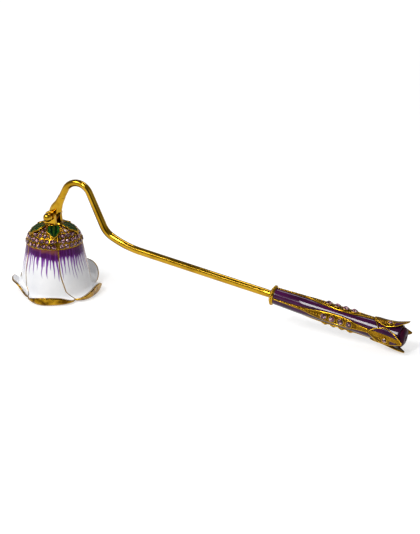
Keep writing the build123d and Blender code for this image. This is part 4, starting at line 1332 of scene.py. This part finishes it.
class SNUFFER_OT_straps(bpy.types.Operator):
    """Chased straps with rope, beads, stones and chevrons"""

    bl_idname = "snuffer.straps"
    bl_label = "Straps"

    def execute(self, context):
        sizes = context.scene.snuffer_handle
        for index in range(STRAPS):
            number = index + 1
            node = f"strap_crystals_{number}"
            stock = Stock()
            stock.layer = 1
            self.floor(stock, index)
            stock.layer = 0
            self.lines(stock, index, sizes.border_wire)
            self.beads(stock, index)
            for centre, normal, diameter in map(self.grown, stones(node)):
                tube(stock, circle(centre, normal, diameter / 2 + 0.1 * MM), sizes.bezel_wire, 8, True)
            for along in np.linspace(CHEVRON_START, STRAP_END - 0.2 * MM, sizes.chevrons):
                half = strap_half(along) - 0.5 * MM
                across = np.linspace(-1, 1, 7) * half
                ridge = strap_point(index, along + 0.8 * (half - np.abs(across)), across, 0.36 * MM)
                tube(stock, ridge, 0.17 * MM, 6)
            piece(f"chased_strap_{number}", stock, WAND, [f"handle_strap_{number}"], CHASED)
            set_stones(f"strap_stones_{number}", node, WAND, 31 + index, place=self.grown)
        return {"FINISHED"}

    def grown(self, stone):
        """Stone that fills its bezel."""
        centre, normal, diameter = stone
        return centre, normal, STONE_GROWTH * diameter

    def floor(self, stock, index):
        """Recessed ground of the strap."""
        along = np.linspace(STRAP_START + 0.4 * MM, STRAP_END - 0.3 * MM, 80)[:, None]
        half = np.maximum(strap_half(along) - 0.3 * MM, 0.08 * MM)
        grid = strap_point(index, along, np.linspace(1, -1, 9)[None] * half, 0)
        shell(stock, grid, -STRAP_SUNK, STRAP_FLOOR)

    def lines(self, stock, index, wire):
        """Twisted rope at the front that opens into two border lines."""
        twist = np.linspace(STRAP_START + 0.2 * MM, ROPE_END, 150)
        turn = 2 * math.pi * twist / ROPE_PITCH
        spin = 0.2 * MM + 0.12 * MM * (twist - STRAP_START) / (20 * MM)
        for phase in (0, math.pi):
            across = spin * np.cos(turn + phase)
            level = 0.24 * MM + 0.6 * spin * np.sin(turn + phase)
            tube(stock, strap_point(index, twist, across, level), 0.22 * MM, 7)
        along = np.linspace(BORDER_START, STRAP_END, 60)
        opening = np.clip((along - BORDER_START) / BORDER_OPENING, 0, 1)
        for side in (-1, 1):
            across = side * (strap_half(along) - wire) * (0.25 + 0.75 * opening)
            tube(stock, strap_point(index, along, across, STRAP_PROUD - wire), wire)

    def beads(self, stock, index):
        """Growing beads in front of the stones, and pairs between the stones."""
        for along, bead in zip(np.linspace(*BEAD_RUN, 5) * MM, np.linspace(*BEAD_SIZES, 5) * MM):
            ball(stock, strap_point(index, along, 0, STRAP_FLOOR + 0.1 * bead), bead)
        for place in (-1, 0, 1):
            along = STONES_MIDDLE + place * STONE_PITCH
            for side in (-1, 1):
                across = side * (strap_half(along) - 0.95 * MM)
                ball(stock, strap_point(index, along, across, 0.3 * MM), 0.36 * MM)


def sepal_half(share):
    """Half width of a sepal."""
    return smooth_table(SEPAL_STATIONS, SEPAL_WIDTHS, share) * SEPAL_HALF_WIDTH


def sepal_point(index, share, across, level):
    """Point on a sepal at a share of its length and a distance aside from its rib."""
    flare = SEPAL_FLARES[index] * share**4
    along = SEPAL_START + SEPAL_LENGTH * share - 0.2 * flare
    radius = body_radius(along) + SEPAL_GAP + SEPAL_LIFT * share**3 + flare
    return handle_point(along, strap_turn(index) + across / radius, radius + level)


class SNUFFER_OT_sepals(bpy.types.Operator):
    """Pointed sepals round the tail, with their enamel and stones"""

    bl_idname = "snuffer.sepals"
    bl_label = "Sepals"

    def execute(self, context):
        sizes = context.scene.snuffer_handle
        jewels = [self.moved(stone) for stone in stones("sepal_crystals")]
        for index in range(STRAPS):
            number = index + 1
            spot = sepal_point(index, np.array(SEPAL_STONE), np.array(SEPAL_ASIDE), np.array(SEPAL_WALL))
            jewel = min(jewels, key=lambda stone: np.linalg.norm(stone[0] - spot))
            stock = Stock()
            stock.layer = 1
            share = np.linspace(0.01, 0.985, 50)[:, None]
            half = np.maximum(sepal_half(share) - 0.28 * MM, 0.05 * MM)
            shell(stock, sepal_point(index, share, np.linspace(1, -1, 13)[None] * half, 0), 0, SEPAL_FLOOR)
            stock.layer = 0
            self.lines(stock, index, SEPAL_WIRE)
            self.grains(stock, index, jewel)
            tube(stock, circle(jewel[0], jewel[1], jewel[2] / 2 + 0.12 * MM), sizes.bezel_wire, 8, True)
            piece(f"gold_sepal_{number}", stock, WAND, [f"sepal_{number}"], CHASED)
            self.fields(index)
        set_stones("sepal_stones", "sepal_crystals", WAND, 51, place=self.moved)
        return {"FINISHED"}

    def moved(self, stone):
        """Stone set beside the rib."""
        centre, normal, diameter = stone
        spin = np.array(Matrix.Rotation(SEPAL_ASIDE / (COLLAR_RADIUS + SEPAL_WALL), 3, Vector(HANDLE_AXIS)))
        return HANDLE_START + spin @ (centre - HANDLE_START), spin @ normal, diameter

    def lines(self, stock, index, wire):
        """Edge lines, the bar from the strap before, and the ribs across the middle."""
        run = np.linspace(0.0, 0.985, 60)
        for side in (-1, 1):
            across = side * np.maximum(sepal_half(run) - wire, 0.1 * MM)
            tube(stock, sepal_point(index, run, across, SEPAL_WALL - wire), wire)
        bar = np.linspace(0, 1, 16)
        along = BAR_START + BAR_LENGTH * bar**0.8
        turn = strap_turn(index) + BAR_TURN + BAR_SWEEP * bar
        tube(stock, handle_point(along, turn, body_radius(along) + 0.22 * MM + 0.3 * MM * bar**2), wire, 7)
        for place in np.linspace(0.02, 0.9, 30):
            rib = min(0.8 * MM, sepal_half(place) - 0.5 * MM)
            across = np.linspace(-1, 1, 7) * rib - RIB_ASIDE
            slant = 0.8 * (rib - np.abs(across + RIB_ASIDE)) / SEPAL_LENGTH
            tube(stock, sepal_point(index, place + slant, across, 0.6 * MM), 0.2 * MM, 6)
        for side in (-1, 1):
            across = np.full_like(run, side * 0.95 * MM - RIB_ASIDE)[8:-12]
            tube(stock, sepal_point(index, run[8:-12], across, 0.62 * MM), 0.17 * MM, 6)

    def grains(self, stock, index, jewel):
        """Granules on the side that holds the stone."""
        for place, aside in GRANULES:
            spot = sepal_point(index, np.array(place), np.array(aside * MM), np.array(0.62 * MM))
            if np.linalg.norm(spot - jewel[0]) > jewel[2] / 2 + 0.5 * MM:
                ball(stock, spot, GRANULE, 10, 6)

    def fields(self, index):
        """Enamel on one side of a sepal's rib, and at the tip on the other."""
        stock = Stock()
        for side, start in ((-1, 0.1), (1, 0.64)):
            share = np.linspace(start, 0.84, 40)
            inner = np.full_like(share, 1.25 * MM - side * RIB_ASIDE)
            outer = np.maximum(sepal_half(share) - 0.7 * MM, inner + 0.1 * MM)
            blend = np.linspace(0, 1, 9)[::-side]
            across = side * (inner[:, None] + (outer - inner)[:, None] * blend[None])
            shell(stock, sepal_point(index, share[:, None], across, 0), *SEPAL_ENAMEL)
        piece(f"aubergine_sepal_{index + 1}", stock, WAND, [f"sepal_enamel_{index + 1}"], ["aubergine_enamel"])


class SNUFFER_OT_bud(bpy.types.Operator):
    """Four-lobed bud that closes the tail"""

    bl_idname = "snuffer.bud"
    bl_label = "Tail bud"

    def execute(self, context):
        radius = float(body_radius(np.array(BODY_END))) - BUD_INSET
        start = BODY_END + SOLDER
        angles = np.linspace(0, math.pi / 2, 12)
        dome = np.stack([
            radius * (0.45 + 0.55 * np.cos(angles)), start + 0.5 * MM + (BUD_LENGTH - 0.5 * MM) * np.sin(angles)], -1)
        dimple = np.array([
            (0.28 * radius, start + BUD_LENGTH - 0.1 * MM), (0.12 * radius, start + BUD_LENGTH - 0.45 * MM),
            (0, start + BUD_LENGTH - 0.6 * MM),
        ])
        outline = np.concatenate([[(0, start), (0.97 * radius, start), (radius, start + 0.25 * MM)], dome, dimple])

        def lobed(along, turn, size):
            return handle_point(along, turn, size * (1 - 0.06 * (1 + np.cos(STRAPS * turn)) * size / radius))

        stock = Stock()
        turned(stock, outline, lobed, 96)
        piece("lobed_bud", stock, WAND, ["tail_bud"], ["plum_enamel"])
        return {"FINISHED"}


# Stage

def aimed(name, data, place, aim):
    """Lamp or camera at a place, turned to its aim."""
    held = bpy.data.objects.new(name, data)
    held.location = place
    held.rotation_euler = (Vector(aim) - held.location).to_track_quat("-Z", "Y").to_euler()
    bpy.context.scene.collection.objects.link(held)
    return held


class SNUFFER_OT_stage(bpy.types.Operator):
    """Pale floor, soft lamps and the camera"""

    bl_idname = "snuffer.stage"
    bl_label = "Stage"

    def execute(self, context):
        settings = context.scene.snuffer_stage
        context.scene.view_settings.view_transform = "Standard"
        self.floor(settings)
        self.sky(context.scene, settings)
        for name, (place, aim, size) in LAMPS.items():
            lamp = bpy.data.lights.new(name, "AREA")
            lamp.shape = "RECTANGLE"
            lamp.size, lamp.size_y = size
            lamp.energy = getattr(settings, f"{name}_power")
            aimed(name, lamp, place, aim)
        lens = bpy.data.cameras.new("camera")
        lens.lens = CAMERA_LENS
        lens.sensor_width = CAMERA_SENSOR
        lens.clip_start = 0.01
        context.scene.camera = aimed("camera", lens, CAMERA_PLACE, CAMERA_AIM)
        return {"FINISHED"}

    def seen(self, tree):
        """One for rays that show the stage itself, in view or in a reflection."""
        path = tree.nodes.new("ShaderNodeLightPath")
        direct = calc(tree, "MAXIMUM", path.outputs["Is Camera Ray"], path.outputs["Is Glossy Ray"])
        return calc(tree, "MAXIMUM", direct, path.outputs["Is Transmission Ray"])

    def floor(self, settings):
        """Large floor that takes the shadow."""
        mesh = bpy.data.meshes.new("floor")
        corners = [(x * FLOOR_REACH, y * FLOOR_REACH, FLOOR_LEVEL) for x, y in ((-1, -1), (1, -1), (1, 1), (-1, 1))]
        mesh.from_pydata(corners, [], [(0, 1, 2, 3)])
        material, tree, shader = new_material("floor", {
            "Roughness": 0.9, "Specular IOR Level": 0.0, "Base Color": settings.floor, "Emission Color": WHITE})
        where = tree.nodes.new("ShaderNodeTexCoord").outputs["Object"]
        far = fed(tree, "ShaderNodeVectorMath", {0: where}, operation="LENGTH").outputs["Value"]
        glow = calc(tree, "MULTIPLY", self.seen(tree), spread(tree, far, 0.56, 0.86, 0.3, 1.2))
        tree.links.new(glow, shader.inputs["Emission Strength"])
        mesh.materials.append(material)
        made = bpy.data.objects.new("floor", mesh)
        bpy.context.scene.collection.objects.link(made)

    def sky(self, scene, settings):
        """Even light, and a white backdrop whose reflection darkens overhead and at the open front."""
        world = bpy.data.worlds.new("studio")
        scene.world = world
        world.use_nodes = True
        tree = world.node_tree
        even = tree.nodes["Background"]
        even.inputs["Color"].default_value = WHITE
        even.inputs["Strength"].default_value = settings.sky
        where = tree.nodes.new("ShaderNodeTexCoord").outputs["Generated"]
        ways = fed(tree, "ShaderNodeSeparateXYZ", {"Vector": where}).outputs
        height = ramp(tree, ways["Z"], *[(z, (level, level, level, 1)) for z, level in SKY_LEVELS])
        aside = calc(tree, "MULTIPLY", ways["Y"], ROOM_FRONT[1])
        facing = calc(tree, "MULTIPLY_ADD", ways["X"], ROOM_FRONT[0], aside)
        mirrored = calc(tree, "MULTIPLY", height, spread(tree, facing, 1.0, 0.2, 0.72, 0.9))
        straight = tree.nodes.new("ShaderNodeLightPath").outputs["Is Camera Ray"]
        strength = calc(tree, "MAXIMUM", straight, mirrored)
        backdrop = fed(tree, "ShaderNodeBackground", {"Color": WHITE, "Strength": strength}).outputs[0]
        mix = fed(tree, "ShaderNodeMixShader", {"Fac": self.seen(tree), 1: even.outputs[0], 2: backdrop})
        tree.links.new(mix.outputs["Shader"], tree.nodes["World Output"].inputs["Surface"])


class SNUFFER_PT_panel(bpy.types.Panel):
    """Operators and sizes of the snuffer"""

    bl_idname = "SNUFFER_PT_panel"
    bl_label = "Candle snuffer"
    bl_space_type = "VIEW_3D"
    bl_region_type = "UI"
    bl_category = "Snuffer"

    def draw(self, context):
        scene = context.scene
        for group in (scene.snuffer_bell, scene.snuffer_handle, scene.snuffer_finishes, scene.snuffer_stage):
            box = self.layout.box()
            for name in group.__annotations__:
                box.prop(group, name)
        for operator in OPERATORS:
            self.layout.operator(operator.bl_idname)


GROUPS = {
    "snuffer_bell": SnufferBell,
    "snuffer_handle": SnufferHandle,
    "snuffer_finishes": SnufferFinishes,
    "snuffer_stage": SnufferStage,
}
OPERATORS = (
    SNUFFER_OT_stage, SNUFFER_OT_petals, SNUFFER_OT_petal_enamel, SNUFFER_OT_crown, SNUFFER_OT_calyx,
    SNUFFER_OT_hinge, SNUFFER_OT_rod, SNUFFER_OT_collar, SNUFFER_OT_body, SNUFFER_OT_straps,
    SNUFFER_OT_sepals, SNUFFER_OT_bud,
)


def register():
    """Adds the classes and their settings."""
    for group in (*GROUPS.values(), *OPERATORS, SNUFFER_PT_panel):
        bpy.utils.register_class(group)
    for name, group in GROUPS.items():
        setattr(bpy.types.Scene, name, PointerProperty(type=group))


def unregister():
    """Takes the classes and their settings away."""
    for name in GROUPS:
        delattr(bpy.types.Scene, name)
    for group in reversed((*GROUPS.values(), *OPERATORS, SNUFFER_PT_panel)):
        bpy.utils.unregister_class(group)


def main():
    """Builds everything in order."""
    register()
    for operator in OPERATORS:
        family, name = operator.bl_idname.split(".")
        getattr(getattr(bpy.ops, family), name)()


if __name__ == "__main__":
    main()
